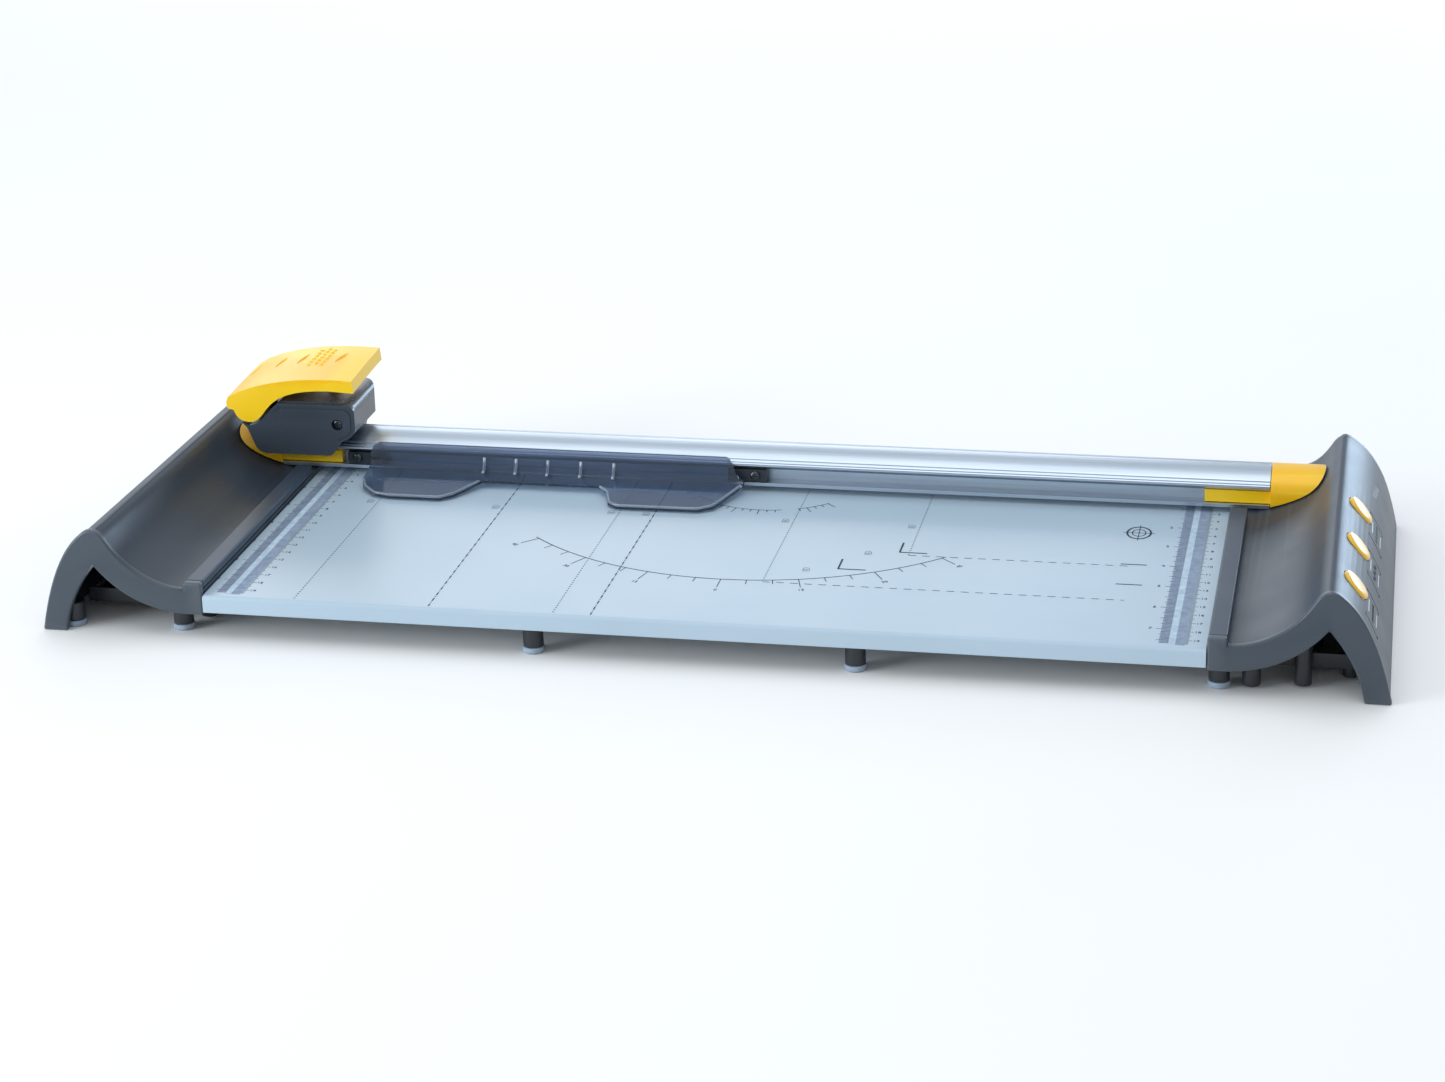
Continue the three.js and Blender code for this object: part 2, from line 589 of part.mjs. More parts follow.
function lever() {
  const shape = new THREE.Shape();
  shape.moveTo(-206.2, 66.9);
  shape.lineTo(-206.9, 73.2);
  shape.bezierCurveTo(-232, 74.6, -255, 72, -272.5, 62.8);
  shape.quadraticCurveTo(-275, 59.5, -273.1, 56.3);
  shape.lineTo(-270.2, 55.7);
  shape.quadraticCurveTo(-268.6, 49.6, -262, 49.6);
  shape.quadraticCurveTo(-257.8, 49.6, -253.7, 55.6);
  shape.bezierCurveTo(-249, 61.5, -243, 67.2, -220.2, 67.6);
  const body = alongY(shape, LEVER_FRONT, LEVER_BACK, 10, 8);
  const position = body.attributes.position;
  for (let i = 0; i < position.count; i += 1) {
    const weight = THREE.MathUtils.smoothstep(position.getZ(i), 57, 66);
    position.setZ(i, position.getZ(i) + weight * crown(position.getY(i)));
  }
  const slot = { y0: KNUCKLE.y0 - 0.5, y1: KNUCKLE.y1 + 0.5 };
  return cut(
    body,
    crossRod(PIVOT.x, PIVOT.z, slot.y0, slot.y1, 7),
    box(-280, -250, slot.y0, slot.y1, 45, 57),
    crossRod(PIVOT.x, PIVOT.z, -31.5, LEVER_BACK + 1, PIN_RADIUS + GAP),
  );
}

class Helix extends THREE.Curve {
  constructor(radius, height, turns) {
    super();
    Object.assign(this, { radius, height, turns });
  }

  getPoint(t, target = new THREE.Vector3()) {
    const angle = 2 * Math.PI * this.turns * t;
    return target.set(
      this.radius * Math.cos(angle),
      this.radius * Math.sin(angle),
      this.height * t,
    );
  }
}

function leverSpring() {
  const wire = new THREE.Shape().absarc(0, 0, 0.4, 0, 2 * Math.PI);
  const bottom = BODY_TOP + 0.8;
  const top = LEVER_UNDER + crown(PLUNGER.y) - 1.3;
  return new THREE.ExtrudeGeometry(wire, {
    steps: 90,
    curveSegments: 3,
    extrudePath: new Helix(3.3, top - bottom, 5),
  }).translate(PLUNGER.x, PLUNGER.y, bottom);
}

// ---------------------------------------------------------------- blade
const AXLE_RADIUS = 2;
const BORE_RADIUS = 2.3;

function rotaryBlade() {
  const ring = crossRod(0, 0, -0.3, 0.3, BLADE_RADIUS, 64);
  const hole = crossRod(0, 0, -1, 1, BORE_RADIUS);
  return cut(ring, hole).translate(TRAVEL_START, 0, BLADE_Z);
}

// The cartridge holds the blade on one side and leaves its lower edge free.
function bladeCartridge() {
  const disc = crossRod(TRAVEL_START, BLADE_Z, 0.7, 3.1, 13, 40);
  const hub = crossRod(TRAVEL_START, BLADE_Z, -1.2, -0.7, 5);
  const bridge = box(TRAVEL_START - 3, TRAVEL_START + 3, -1.2, 3.1, 52, 53.4);
  const strap = box(TRAVEL_START - 3, TRAVEL_START + 3, -1.2, -0.7, BLADE_Z, 53);
  const backStrap = box(TRAVEL_START - 3, TRAVEL_START + 3, 0.7, 3.1, BLADE_Z, 53);
  return cut(
    joined(disc, hub, strap, backStrap, bridge),
    crossRod(TRAVEL_START, BLADE_Z, -3, 5, BORE_RADIUS),
    box(-260, -210, -3, 5, 20, 27.6),
  );
}

function bladeCarrier() {
  const block = box(-248, -226.5, 3.5, 7.8, 30, 51.5);
  const plunger = uprightRod(PLUNGER.x, PLUNGER.y, 51, LEVER_UNDER + crown(PLUNGER.y) - 0.35, 1.9);
  return cut(joined(block, plunger), crossRod(TRAVEL_START, BLADE_Z, 3, 9, BORE_RADIUS));
}

// ---------------------------------------------------------------- stored blades, buttons
const STORED = { x: 266, radius: 13.5, behindButton: 10 };

function storedCartridge(y) {
  return joined(
    uprightRod(STORED.x, y, TRAY.z1 + GAP, TRAY.z1 + 4, STORED.radius, 36),
    uprightRod(STORED.x, y, TRAY.z1 + 3, TRAY.z1 + 6, 5),
  );
}

// ---------------------------------------------------------------- assembly
add(object, 'base_board', board(), 'board');
add(object, 'cutting_mat', box(-MAT_HALF_LENGTH, MAT_HALF_LENGTH, CUT_Y - MAT_HALF_WIDTH,
  CUT_Y + MAT_HALF_WIDTH, BOARD_TOP - MAT_THICKNESS, BOARD_TOP), 'mat');
add(object, 'front_cross_member', crossMember(-110, -97, -104.5), 'black');
add(object, 'rear_cross_member', crossMember(95.5, 109, 103), 'black');

for (const [name, side] of SIDES) {
  add(object, `${name}_casing`, casing(side), 'casing');
  add(object, `${name}_front_plate`, onSide(side, endPlate(-HALF_DEPTH, true)), 'endPlate');
  add(object, `${name}_rear_plate`,
    onSide(side, endPlate(HALF_DEPTH - PLATE_THICKNESS, false)), 'endPlate');
  add(object, `${name}_fence`, onSide(side, box(CASING_INNER, FENCE_OUTER,
    -HALF_DEPTH + PLATE_THICKNESS + GAP, FENCE_BACK, LEDGE_Z - CASING_INSET + GAP,
    FENCE_TOP - 0.2)), 'fence');
  add(object, `${name}_bottom_tray`, bottomTray(side), 'black');
  for (const [row, y] of [['front', -104.5], ['rear', 103]]) {
    add(object, `${row}_${name}_foot`, rubberFoot(side * BOARD_FOOT_X, y), 'rubber');
  }
  add(cutLine, `${name}_rail_cap`, railCap(side), 'yellow');
  add(cutLine, `${name}_rail_screw`, railScrew(side), 'steel');
}

for (const { name, x, y, top, radius, tipped } of CASING_POSTS) {
  const bottom = tipped ? FOOT_HEIGHT + GAP : POST_CLEARANCE;
  add(object, name, uprightRod(x, y, bottom, top, radius), 'black');
  if (tipped) {
    add(object, name.replace('post', 'tip'), rubberFoot(x, y), 'rubber');
  }
}

add(cutLine, 'rail', rail(), 'aluminium');

add(cutLine, 'paper_guide', paperGuide(), 'clear');
for (const shoe of SHOES) {
  add(cutLine, shoe.name, guideShoe(shoe), 'black');
  add(cutLine, shoe.name.replace('shoe', 'screw'),
    faceScrew(shoe.screwX, SHOE_SCREW_Z, SHOE_FRONT - 1.2, 2.4, 0.9, 6), 'steel');
}

add(cutLine, 'carriage_body', carriageBody(), 'carriage');
add(cutLine, 'carriage_front_plate', frontPlate(), 'carriage');
add(cutLine, 'carriage_rear_cover', rearCover(), 'carriage');
add(cutLine, 'front_glide', frontGlide(), 'nylon');
add(cutLine, 'rear_glide', rearGlide(), 'nylon');
add(cutLine, 'front_plate_screw',
  faceScrew(PLATE_SCREW.x, PLATE_SCREW.z, PLATE_FRONT + 0.8, 2.5, 1.2, 10), 'steel');
add(cutLine, 'lever_pin', crossRod(PIVOT.x, PIVOT.z, -31, LEVER_BACK - 0.5, PIN_RADIUS),
  'steel');
add(cutLine, 'lever_spring', leverSpring(), 'steel');
add(cutLine, 'lever', lever(), 'yellow');
add(cutLine, 'blade_carrier', bladeCarrier(), 'nylon');
add(cutLine, 'blade_cartridge', bladeCartridge(), 'yellow');
add(cutLine, 'blade_axle', crossRod(TRAVEL_START, BLADE_Z, -1.2, 7.8, AXLE_RADIUS), 'steel');
add(cutLine, 'rotary_blade', rotaryBlade(), 'steel');

BUTTON_Y.forEach((y, i) => {
  const number = i + 1;
  add(object, `storage_button_${number}`, buttonRod(y, -BUTTON_DEPTH, BUTTON_PROUD,
    BUTTON_RADIUS), 'yellow');
  add(object, `stored_cartridge_${number}`, storedCartridge(y + STORED.behindButton), 'yellow');
});

export default object;
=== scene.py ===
"""Looks of the rotary paper trimmer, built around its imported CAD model. Metres, +Z up."""

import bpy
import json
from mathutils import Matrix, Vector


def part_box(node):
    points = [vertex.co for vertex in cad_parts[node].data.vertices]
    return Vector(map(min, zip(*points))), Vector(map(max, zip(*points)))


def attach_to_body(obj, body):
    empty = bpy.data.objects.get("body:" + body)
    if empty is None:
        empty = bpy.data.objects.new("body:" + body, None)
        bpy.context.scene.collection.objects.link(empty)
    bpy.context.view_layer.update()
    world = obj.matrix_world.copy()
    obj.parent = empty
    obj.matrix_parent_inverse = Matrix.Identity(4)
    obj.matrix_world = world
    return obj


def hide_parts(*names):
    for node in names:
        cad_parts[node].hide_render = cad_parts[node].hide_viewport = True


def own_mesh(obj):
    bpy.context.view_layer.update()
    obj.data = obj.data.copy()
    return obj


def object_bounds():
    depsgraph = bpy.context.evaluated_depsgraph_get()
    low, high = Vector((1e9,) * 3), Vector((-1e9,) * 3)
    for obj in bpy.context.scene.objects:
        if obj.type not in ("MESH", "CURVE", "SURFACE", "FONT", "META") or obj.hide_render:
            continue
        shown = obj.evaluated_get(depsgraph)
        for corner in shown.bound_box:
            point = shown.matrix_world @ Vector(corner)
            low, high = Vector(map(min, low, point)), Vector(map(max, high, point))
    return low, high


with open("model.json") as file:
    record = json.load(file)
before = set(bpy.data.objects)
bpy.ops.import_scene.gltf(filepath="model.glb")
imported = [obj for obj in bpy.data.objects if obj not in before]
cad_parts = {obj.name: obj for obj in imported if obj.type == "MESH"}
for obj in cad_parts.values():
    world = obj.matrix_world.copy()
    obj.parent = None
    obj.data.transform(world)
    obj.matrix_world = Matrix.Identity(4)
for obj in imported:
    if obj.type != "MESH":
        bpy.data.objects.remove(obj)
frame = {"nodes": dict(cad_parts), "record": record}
CAD_BOX = [list(corner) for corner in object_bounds()]

import json
import math

import bmesh
import bpy
from mathutils import Matrix, Vector
from mathutils.bvhtree import BVHTree

MM = 0.001
RECORD = frame["record"]
BODY_OF = {n: body for body, nodes in RECORD["behaviour"]["bodies"].items() for n in nodes}
SLOT_OF = {part["node"]: part["material_slot"] for part in RECORD["subparts"]}


# ---------------------------------------------------------------- camera
AZIMUTH, ELEVATION, ROLL = (math.radians(angle) for angle in (12.19, 20.84, -1.59))
CAMERA_AT = Vector((0.30207, -1.43281, 0.57571))
LENS, SENSOR = 81.3, 36


def add_camera():
    data = bpy.data.cameras.new("camera")
    data.lens = LENS
    data.sensor_width = SENSOR
    camera = bpy.data.objects.new("camera", data)
    back = Vector((math.sin(AZIMUTH) * math.cos(ELEVATION),
                   -math.cos(AZIMUTH) * math.cos(ELEVATION), math.sin(ELEVATION)))
    level = Vector((math.cos(AZIMUTH), math.sin(AZIMUTH), 0))
    right = math.cos(ROLL) * level + math.sin(ROLL) * back.cross(level)
    axes = Matrix((right, back.cross(right), back)).transposed()
    camera.matrix_world = Matrix.Translation(CAMERA_AT) @ axes.to_4x4()
    bpy.context.scene.collection.objects.link(camera)
    bpy.context.scene.camera = camera


# ---------------------------------------------------------------- light and floor
def add_light(name, place, target, size, power, color):
    data = bpy.data.lights.new(name, "AREA")
    data.shape = "RECTANGLE"
    data.size, data.size_y = size
    data.energy = power
    data.color = color
    light = bpy.data.objects.new(name, data)
    aim = Vector(target) - Vector(place)
    light.rotation_euler = aim.to_track_quat("-Z", "Y").to_euler()
    light.location = place
    bpy.context.scene.collection.objects.link(light)


# name, place, target, size, radiance, colour
SOFTBOXES = [
    ("overhead", (-0.1, 0.0, 1.7), (0, 0, 0), (2.4, 1.4), 1.25, (0.92, 0.96, 1.0)),
    ("back_left", (-0.75, 2.1, 0.70), (0.0, 0, 0.03), (1.7, 0.62), 2.0, (0.90, 0.95, 1.0)),
    ("back_right_low", (1.1, 2.1, 0.34), (0.30, 0, 0.04), (1.2, 0.5), 8.5, (0.62, 0.80, 1.0)),
    ("front_left_fill", (-1.7, -1.2, 0.5), (-0.28, -0.11, 0.03), (1.0, 0.8), 11.5,
     (0.82, 0.92, 1.0)),
]
WORLD_COLOR, WORLD_STRENGTH = (0.84, 0.92, 1.0, 1), 0.66
FLOOR_HALF = 6


def add_stage():
    world = bpy.data.worlds.new("studio")
    world.use_nodes = True
    background = world.node_tree.nodes["Background"]
    background.inputs["Color"].default_value = WORLD_COLOR
    background.inputs["Strength"].default_value = WORLD_STRENGTH
    bpy.context.scene.world = world
    bpy.context.scene.view_settings.view_transform = "Standard"
    for name, place, target, size, radiance, color in SOFTBOXES:
        add_light(name, place, target, size, radiance * math.pi * size[0] * size[1], color)
    bm = bmesh.new()
    bmesh.ops.create_grid(bm, x_segments=1, y_segments=1, size=FLOOR_HALF)
    paper = Finish("floor_paper", (0.96, 0.93, 0.90), 0.75)
    paper.tone_range(0.985, 1.0, 3)
    new_object("floor", bm, paper)


# ---------------------------------------------------------------- finishes
EDGE_WEAR_AND_HIGHLIGHT = 0.35  # the most that an edge takes of its lighter colour, which is partly wear and partly a painted highlight
EDGE_POINTINESS = (0.51, 0.60)  # where the edge lightening of wear and painted highlight starts and where it is full


class Finish:
    """A Principled material with layers of procedural detail in the object's own space."""

    def __init__(self, name, color, roughness, metallic=0.0, **sockets):
        self.material = bpy.data.materials.new(name)
        self.material.use_nodes = True
        self.tree = self.material.node_tree
        self.shader = self.tree.nodes["Principled BSDF"]
        self.color = color
        self.place = self.node("ShaderNodeTexCoord").outputs["Object"]
        self.set("Base Color", (*color, 1))
        self.set("Roughness", roughness)
        self.set("Metallic", metallic)
        for socket, value in sockets.items():
            self.set(socket.replace("_", " "), value)

    def set(self, socket, value):
        self.shader.inputs[socket].default_value = value

    def node(self, kind, **settings):
        made = self.tree.nodes.new(kind)
        for key, value in settings.items():
            setattr(made, key, value)
        return made

    def link(self, output, target):
        self.tree.links.new(output, target)

    def noise(self, scale, stretch=(1, 1, 1), detail=3.0):
        """Noise with cells of 1/scale metres, longer along an axis with a small stretch."""
        mapping = self.node("ShaderNodeMapping")
        mapping.inputs["Scale"].default_value = stretch
        self.link(self.place, mapping.inputs["Vector"])
        noise = self.node("ShaderNodeTexNoise")
        noise.inputs["Scale"].default_value = scale
        noise.inputs["Detail"].default_value = detail
        self.link(mapping.outputs["Vector"], noise.inputs["Vector"])
        return noise.outputs["Fac"]

    def ranged(self, output, low, high, start=0.3, end=0.7):
        spread = self.node("ShaderNodeMapRange")
        for socket, value in (("From Min", start), ("From Max", end), ("To Min", low),
                              ("To Max", high)):
            spread.inputs[socket].default_value = value
        self.link(output, spread.inputs["Value"])
        return spread.outputs["Result"]

    def tone_range(self, low, high, scale, stretch=(1, 1, 1)):
        """The colour wanders between low and high times its own value."""
        blend = self.node("ShaderNodeMix", data_type="RGBA")
        self.link(self.ranged(self.noise(scale, stretch), 0, 1), blend.inputs["Factor"])
        for socket, share in (("A", low), ("B", high)):
            tint = [min(c * share, 1) for c in self.color]
            socket_in = [s for s in blend.inputs if s.name == socket and s.type == "RGBA"][0]
            socket_in.default_value = (*tint, 1)
        result = [s for s in blend.outputs if s.type == "RGBA"][0]
        self.link(result, self.shader.inputs["Base Color"])
        return result

    def worn_edges(self, color, source):
        """Convex edges are painted lighter than the source colour: partly wear, partly a painted
        highlight.
        """
        pointed = self.ranged(self.node("ShaderNodeNewGeometry").outputs["Pointiness"],
                              0, EDGE_WEAR_AND_HIGHLIGHT, *EDGE_POINTINESS)
        blend = self.node("ShaderNodeMix", data_type="RGBA")
        self.link(pointed, blend.inputs["Factor"])
        colors = [s for s in blend.inputs if s.type == "RGBA"]
        self.link(source, colors[0])
        colors[1].default_value = (*color, 1)
        result = [s for s in blend.outputs if s.type == "RGBA"][0]
        self.link(result, self.shader.inputs["Base Color"])

    def gloss_range(self, low, high, scale, stretch=(1, 1, 1)):
        result = self.ranged(self.noise(scale, stretch, 4), low, high)
        self.link(result, self.shader.inputs["Roughness"])

    def bump(self, height_mm, scale, stretch=(1, 1, 1), detail=2.0):
        relief = self.node("ShaderNodeBump")
        relief.inputs["Distance"].default_value = height_mm * MM
        self.link(self.noise(scale, stretch, detail), relief.inputs["Height"])
        self.link(relief.outputs["Normal"], self.shader.inputs["Normal"])


def moulded(name, color, roughness, spread=0.025, grain=0.003, wear_and_highlight=0.03, **sockets):
    """Injection-moulded plastic: fine spark grain, slight flow marks, uneven gloss.

    The amount given after grain is what convex edges gain in each colour over one and a half times
    the plastic's own: partly wear, partly a painted highlight.
    """
    finish = Finish(name, color, roughness, **sockets)
    source = finish.tone_range(0.95, 1.05, 22)
    # convex edges lightened: partly wear, partly a painted highlight
    finish.worn_edges([min(1, c * 1.5 + wear_and_highlight) for c in color], source)
    finish.gloss_range(roughness - spread, roughness + spread, 45)
    finish.bump(grain, 1800)
    return finish


def board_enamel():
    """Smooth baked enamel on sheet metal, with a slight orange peel."""
    finish = Finish("board_enamel", (0.41, 0.51, 0.59), 0.36, Coat_Weight=0.15,
                    Coat_Roughness=0.2)
    finish.tone_range(0.97, 1.03, 9)
    finish.gloss_range(0.32, 0.42, 16)
    finish.bump(0.004, 420, detail=3)
    return finish


def brushed_aluminium():
    """Satin extrusion with fine lines drawn along the rail."""
    along = (0.012, 1, 1)
    finish = Finish("rail_aluminium", (0.54, 0.60, 0.67), 0.33, 1.0)
    finish.tone_range(0.93, 1.05, 900, along)
    finish.gloss_range(0.30, 0.40, 1400, along)
    finish.bump(0.0015, 1800, along)
    return finish


def ground_steel(name="steel", color=(0.62, 0.63, 0.65)):
    finish = Finish(name, color, 0.25, 1.0)
    finish.tone_range(0.85, 1.05, 120)
    finish.gloss_range(0.16, 0.36, 500, (1, 0.1, 1))
    finish.bump(0.006, 2500, (1, 0.1, 1))
    return finish


def clear_moulding(name, color, roughness, clearness, gloss):
    """Clear plastic with faint flow lines along the guide."""
    finish = Finish(name, color, roughness, Transmission_Weight=clearness, IOR=1.46,
                    Specular_IOR_Level=gloss)
    finish.tone_range(0.88, 1.08, 35, (0.2, 1, 1))
    finish.gloss_range(roughness - 0.03, roughness + 0.03, 60, (0.3, 1, 1))
    finish.bump(0.004, 90, (0.2, 1, 1))
    return finish


def soft_rubber():
    finish = Finish("rubber_tip", (0.30, 0.36, 0.44), 0.8)
    finish.tone_range(0.85, 1.1, 200)
    finish.gloss_range(0.7, 0.9, 300)
    finish.bump(0.03, 1500)
    return finish


def cutting_strip():
    finish = Finish("mat_plastic", (0.19, 0.23, 0.28), 0.65)
    finish.tone_range(0.8, 1.15, 400, (0.05, 1, 1))
    finish.gloss_range(0.5, 0.8, 300, (0.1, 1, 1))
    finish.bump(0.03, 700, (0.03, 1, 1))
    return finish


def printing_ink(name, color):
    finish = Finish(name, color, 0.6, Specular_IOR_Level=0.15)
    finish.tone_range(0.85, 1.15, 350)
    finish.gloss_range(0.5, 0.7, 300)
    finish.bump(0.004, 2000)
    return finish


FINISHES = {
    "casing_plastic": moulded("casing_plastic", (0.024, 0.036, 0.055), 0.36,
                              Specular_IOR_Level=0.26),
    # The end plates' large edge amount paints a bright highlight along their rounded top rims.
    "end_plate_plastic": moulded("end_plate_plastic", (0.022, 0.036, 0.052), 0.36, wear_and_highlight=0.4),
    "fence_plastic": moulded("fence_plastic", (0.026, 0.042, 0.068), 0.40),
    "board_enamel": board_enamel(),
    "mat_plastic": cutting_strip(),
    "black_plastic": moulded("black_plastic", (0.014, 0.017, 0.022), 0.34),
    "carriage_plastic": moulded("carriage_plastic", (0.040, 0.050, 0.064), 0.27),
    "yellow_plastic": moulded("yellow_plastic", (1.0, 0.50, 0.0), 0.30, spread=0.03,
                              Subsurface_Weight=0.06, Subsurface_Scale=0.003),
    "button_yellow": moulded("button_yellow", (1.0, 0.52, 0.01), 0.30, spread=0.03, grain=0.002,
                             Coat_Weight=0.55, Coat_Roughness=0.25),
    "nylon": moulded("nylon", (0.75, 0.76, 0.74), 0.45),
    "rubber_tip": soft_rubber(),
    "rail_aluminium": brushed_aluminium(),
    "steel": ground_steel(),
    "black_steel": ground_steel("black_steel", (0.10, 0.105, 0.11)),
    "clear_plastic": clear_moulding("clear_plastic", (0.33, 0.41, 0.54), 0.05, 0.95, 0.28),
    # Paler copies of the guide's clear plastic for the rib fronts and pad-edge beads: painted
    # highlights.
    "rib_highlight_clear": clear_moulding("rib_highlight_clear", (0.86, 0.90, 0.95), 0.15, 0.5, 0.5),
    "edge_highlight_clear": clear_moulding("edge_highlight_clear", (0.62, 0.70, 0.80), 0.12, 0.72, 0.5),
}


# ---------------------------------------------------------------- mesh helpers
WELD = 2e-6  # metres between points of the CAD mesh that are one point
FLAT_ANGLE = 1.0  # degrees between triangles of one flat face
SHARP_ANGLE = 26  # degrees above which an edge is rounded
SMOOTH_ANGLE = 40  # degrees up to which faces are shaded as one


def new_object(name, bm, finish, smooth_angle=SMOOTH_ANGLE):
    bmesh.ops.recalc_face_normals(bm, faces=bm.faces)
    mesh = bpy.data.meshes.new(name)
    bm.to_mesh(mesh)
    bm.free()
    mesh.shade_smooth()
    mesh.set_sharp_from_angle(angle=math.radians(smooth_angle))
    mesh.materials.append(finish.material)
    made = bpy.data.objects.new(name, mesh)
    bpy.context.scene.collection.objects.link(made)
    return made


def attach(piece, body, slot, *nodes):
    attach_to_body(piece, body)
    if nodes:
        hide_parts(*nodes)
    return piece


def bevel_sharp(bm, width, segments):
    edges = [e for e in bm.edges
             if len(e.link_faces) == 2 and e.calc_face_angle(0) > math.radians(SHARP_ANGLE)]
    bmesh.ops.bevel(bm, geom=edges, offset=width * MM, offset_type="OFFSET", segments=segments,
                    profile=0.5, affect="EDGES", clamp_overlap=True)


def cad_mesh(node):
    """A CAD node's mesh with its flat faces whole again."""
    bm = bmesh.new()
    bm.from_mesh(frame["nodes"][node].data)
    bmesh.ops.remove_doubles(bm, verts=bm.verts, dist=WELD)
    bmesh.ops.dissolve_limit(bm, angle_limit=math.radians(FLAT_ANGLE), verts=bm.verts,
                             edges=bm.edges)
    return bm


def refined(node, width, segments):
    """The CAD shape with its edges rounded, shaded smooth, in place of the CAD node."""
    bm = cad_mesh(node)
    bevel_sharp(bm, width, segments)
    piece = new_object(f"{node}_fine", bm, FINISHES[SLOT_OF[node]])
    piece.modifiers.new("normals", "WEIGHTED_NORMAL").keep_sharp = True
    return attach(piece, BODY_OF[node], SLOT_OF[node], node)


def surface_of(piece):
    """A piece's surface, for finding where a straight line meets it."""
    bm = bmesh.new()
    bm.from_mesh(piece.data)
    tree = BVHTree.FromBMesh(bm)
    bm.free()
    return tree


# ---------------------------------------------------------------- printing on the board
class Ink:
    """Flat marks a few hundredths of a millimetre thick, laid on a level surface."""
    THICKNESS = 0.04

    def __init__(self, z):
        self.bm = bmesh.new()
        self.z = z

    def ribbon(self, points, width):
        """A mitred band along points (x, y) in mm."""
        points = [Vector(p) for p in points]
        sides = []
        for i, point in enumerate(points):
            along = (points[min(i + 1, len(points) - 1)] - points[max(i - 1, 0)]).normalized()
            across = Vector((-along.y, along.x)) * width / 2
            sides.append((point + across, point - across))
        rings = [[self.bm.verts.new((s.x * MM, s.y * MM, z))
                  for z in (self.z, self.z + self.THICKNESS * MM) for s in pair]
                 for pair in sides]
        for a, b in zip(rings, rings[1:]):
            for i, j in ((0, 1), (1, 3), (3, 2), (2, 0)):
                self.bm.faces.new((a[i], a[j], b[j], b[i]))
        for ring in (rings[0], rings[-1]):
            self.bm.faces.new([ring[i] for i in (0, 1, 3, 2)])

    def line(self, x0, y0, x1, y1, width=0.25):
        self.ribbon([(x0, y0), (x1, y1)], width)

    def dashes(self, x0, y0, x1, y1, pattern, width=0.25):
        """pattern lists the lengths of mark, space, mark, space."""
        start, end = Vector((x0, y0)), Vector((x1, y1))
        along = (end - start).normalized()
        length = (end - start).length
        done, step = 0, 0
        while done < length:
            part = min(pattern[step % len(pattern)], length - done)
            if step % 2 == 0 and part > 0.05:
                a, b = start + along * done, start + along * (done + part)
                self.line(a.x, a.y, b.x, b.y, width)
            done += pattern[step % len(pattern)]
            step += 1

    def number(self, text, x, y, size, turn=0):
        curve = bpy.data.curves.new("figures", "FONT")
        curve.body = str(text)
        curve.align_x, curve.align_y = "CENTER", "CENTER"
        curve.resolution_u = 2
        curve.extrude = self.THICKNESS / 2 / size
        holder = bpy.data.objects.new("figures", curve)
        bpy.context.scene.collection.objects.link(holder)
        bpy.context.view_layer.update()
        mesh = bpy.data.meshes.new_from_object(
            holder.evaluated_get(bpy.context.evaluated_depsgraph_get()))
        middle = Vector((x * MM, y * MM, self.z + self.THICKNESS / 2 * MM))
        mesh.transform(Matrix.Translation(middle) @ Matrix.Rotation(math.radians(turn), 4, "Z")
                       @ Matrix.Scale(size * MM, 4))
        self.bm.from_mesh(mesh)
        bpy.data.meshes.remove(mesh)
        bpy.data.objects.remove(holder)
        bpy.data.curves.remove(curve)

    def finished(self, name, finish):
        attach(new_object(name, self.bm, finish), "base", "board_enamel")


BOARD_LOW, BOARD_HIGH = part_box("base_board")
CUT_LINE = 88.0  # the blade's line; printed measures count from it towards the front
PRINT_Z = BOARD_HIGH.z + 0.01 * MM

INCH = 25.4
LAST_CM, LAST_INCH = 19, 7
SCALE_START, SCALE_DEPTH = 18, 195.5  # from the cut line
LEFT_SHIFT = 434.2  # the left ruler is the right one moved, not mirrored
INCH_EDGE, CM_EDGE = 213.4, 220.8  # where the two scales' ticks start
INCH_NUMBERS, CM_NUMBERS = (204.2, 3.4), (225.4, 3.0)  # place across and height
DARK_BANDS, DARK_WIDTH = ((218.6, 0), (211.3, 1.5)), 4.2  # place across, short of the end by
PALE_BAND, PALE_WIDTH = 215.0, 2.7


def print_rulers(ink, bands, pale):
    """Each end has an inch scale and a centimetre scale with bands between and under them."""
    y_start, y_end = CUT_LINE - SCALE_START, CUT_LINE - SCALE_DEPTH
    for shift in (-LEFT_SHIFT, 0):
        for across, short in DARK_BANDS:
            bands.line(across + shift, y_start, across + shift, y_end + short, DARK_WIDTH)
        pale.line(PALE_BAND + shift, y_start, PALE_BAND + shift, y_end, PALE_WIDTH)
        for i in range(16, int(SCALE_DEPTH / INCH * 16)):
            y = CUT_LINE - i * INCH / 16
            length = {0: 6.4, 8: 5.6, 4: 5.0, 12: 5.0}.get(i % 16, 4.2 if i % 2 == 0 else 3.4)
            ink.line(INCH_EDGE + shift, y, INCH_EDGE - length + shift, y, 0.24)
        for i in range(20, LAST_CM * 10 + 5):
            y = CUT_LINE - i
            length = 2.9 if i % 10 == 0 else (2.1 if i % 5 == 0 else 1.3)
            ink.line(CM_EDGE + shift, y, CM_EDGE + length + shift, y, 0.20)
        for step, first, last, (across, size) in ((10, 3, LAST_CM, CM_NUMBERS),
                                                  (INCH, 2, LAST_INCH, INCH_NUMBERS)):
            for n in range(first, last + 1):
                ink.number(n, across + shift, CUT_LINE - step * n, size)


# Paper sizes: where a sheet's far edge lies when it is squared against the right fence.
SHEET_LINES = [(-186.6, "dots"), (-122.2, "mixed"), (-63.6, "dots"), (-46.0, "mixed")]
DOTS, DASHES, MIXED = (0.7, 1.9), (3.6, 3.0), (3.6, 1.4, 0.7, 1.4)  # mark, space, mark, space
SHORT_SHEETS = [(23.4, 146.6), (85.2, 104.0)]  # far edge, and depth from the cut line
CORNERS = [(80.6, 100.6), (55.4, 125.6)]  # the same two measures of a corner mark
SHORT_BARS, BAR_X = [101.6, 127.0], (184.5, 196.5)
LINE_END = 190  # where lines across the board stop
MARK_LEFT, MARK_DEPTH = 5.4, 68  # a page mark's place by its line


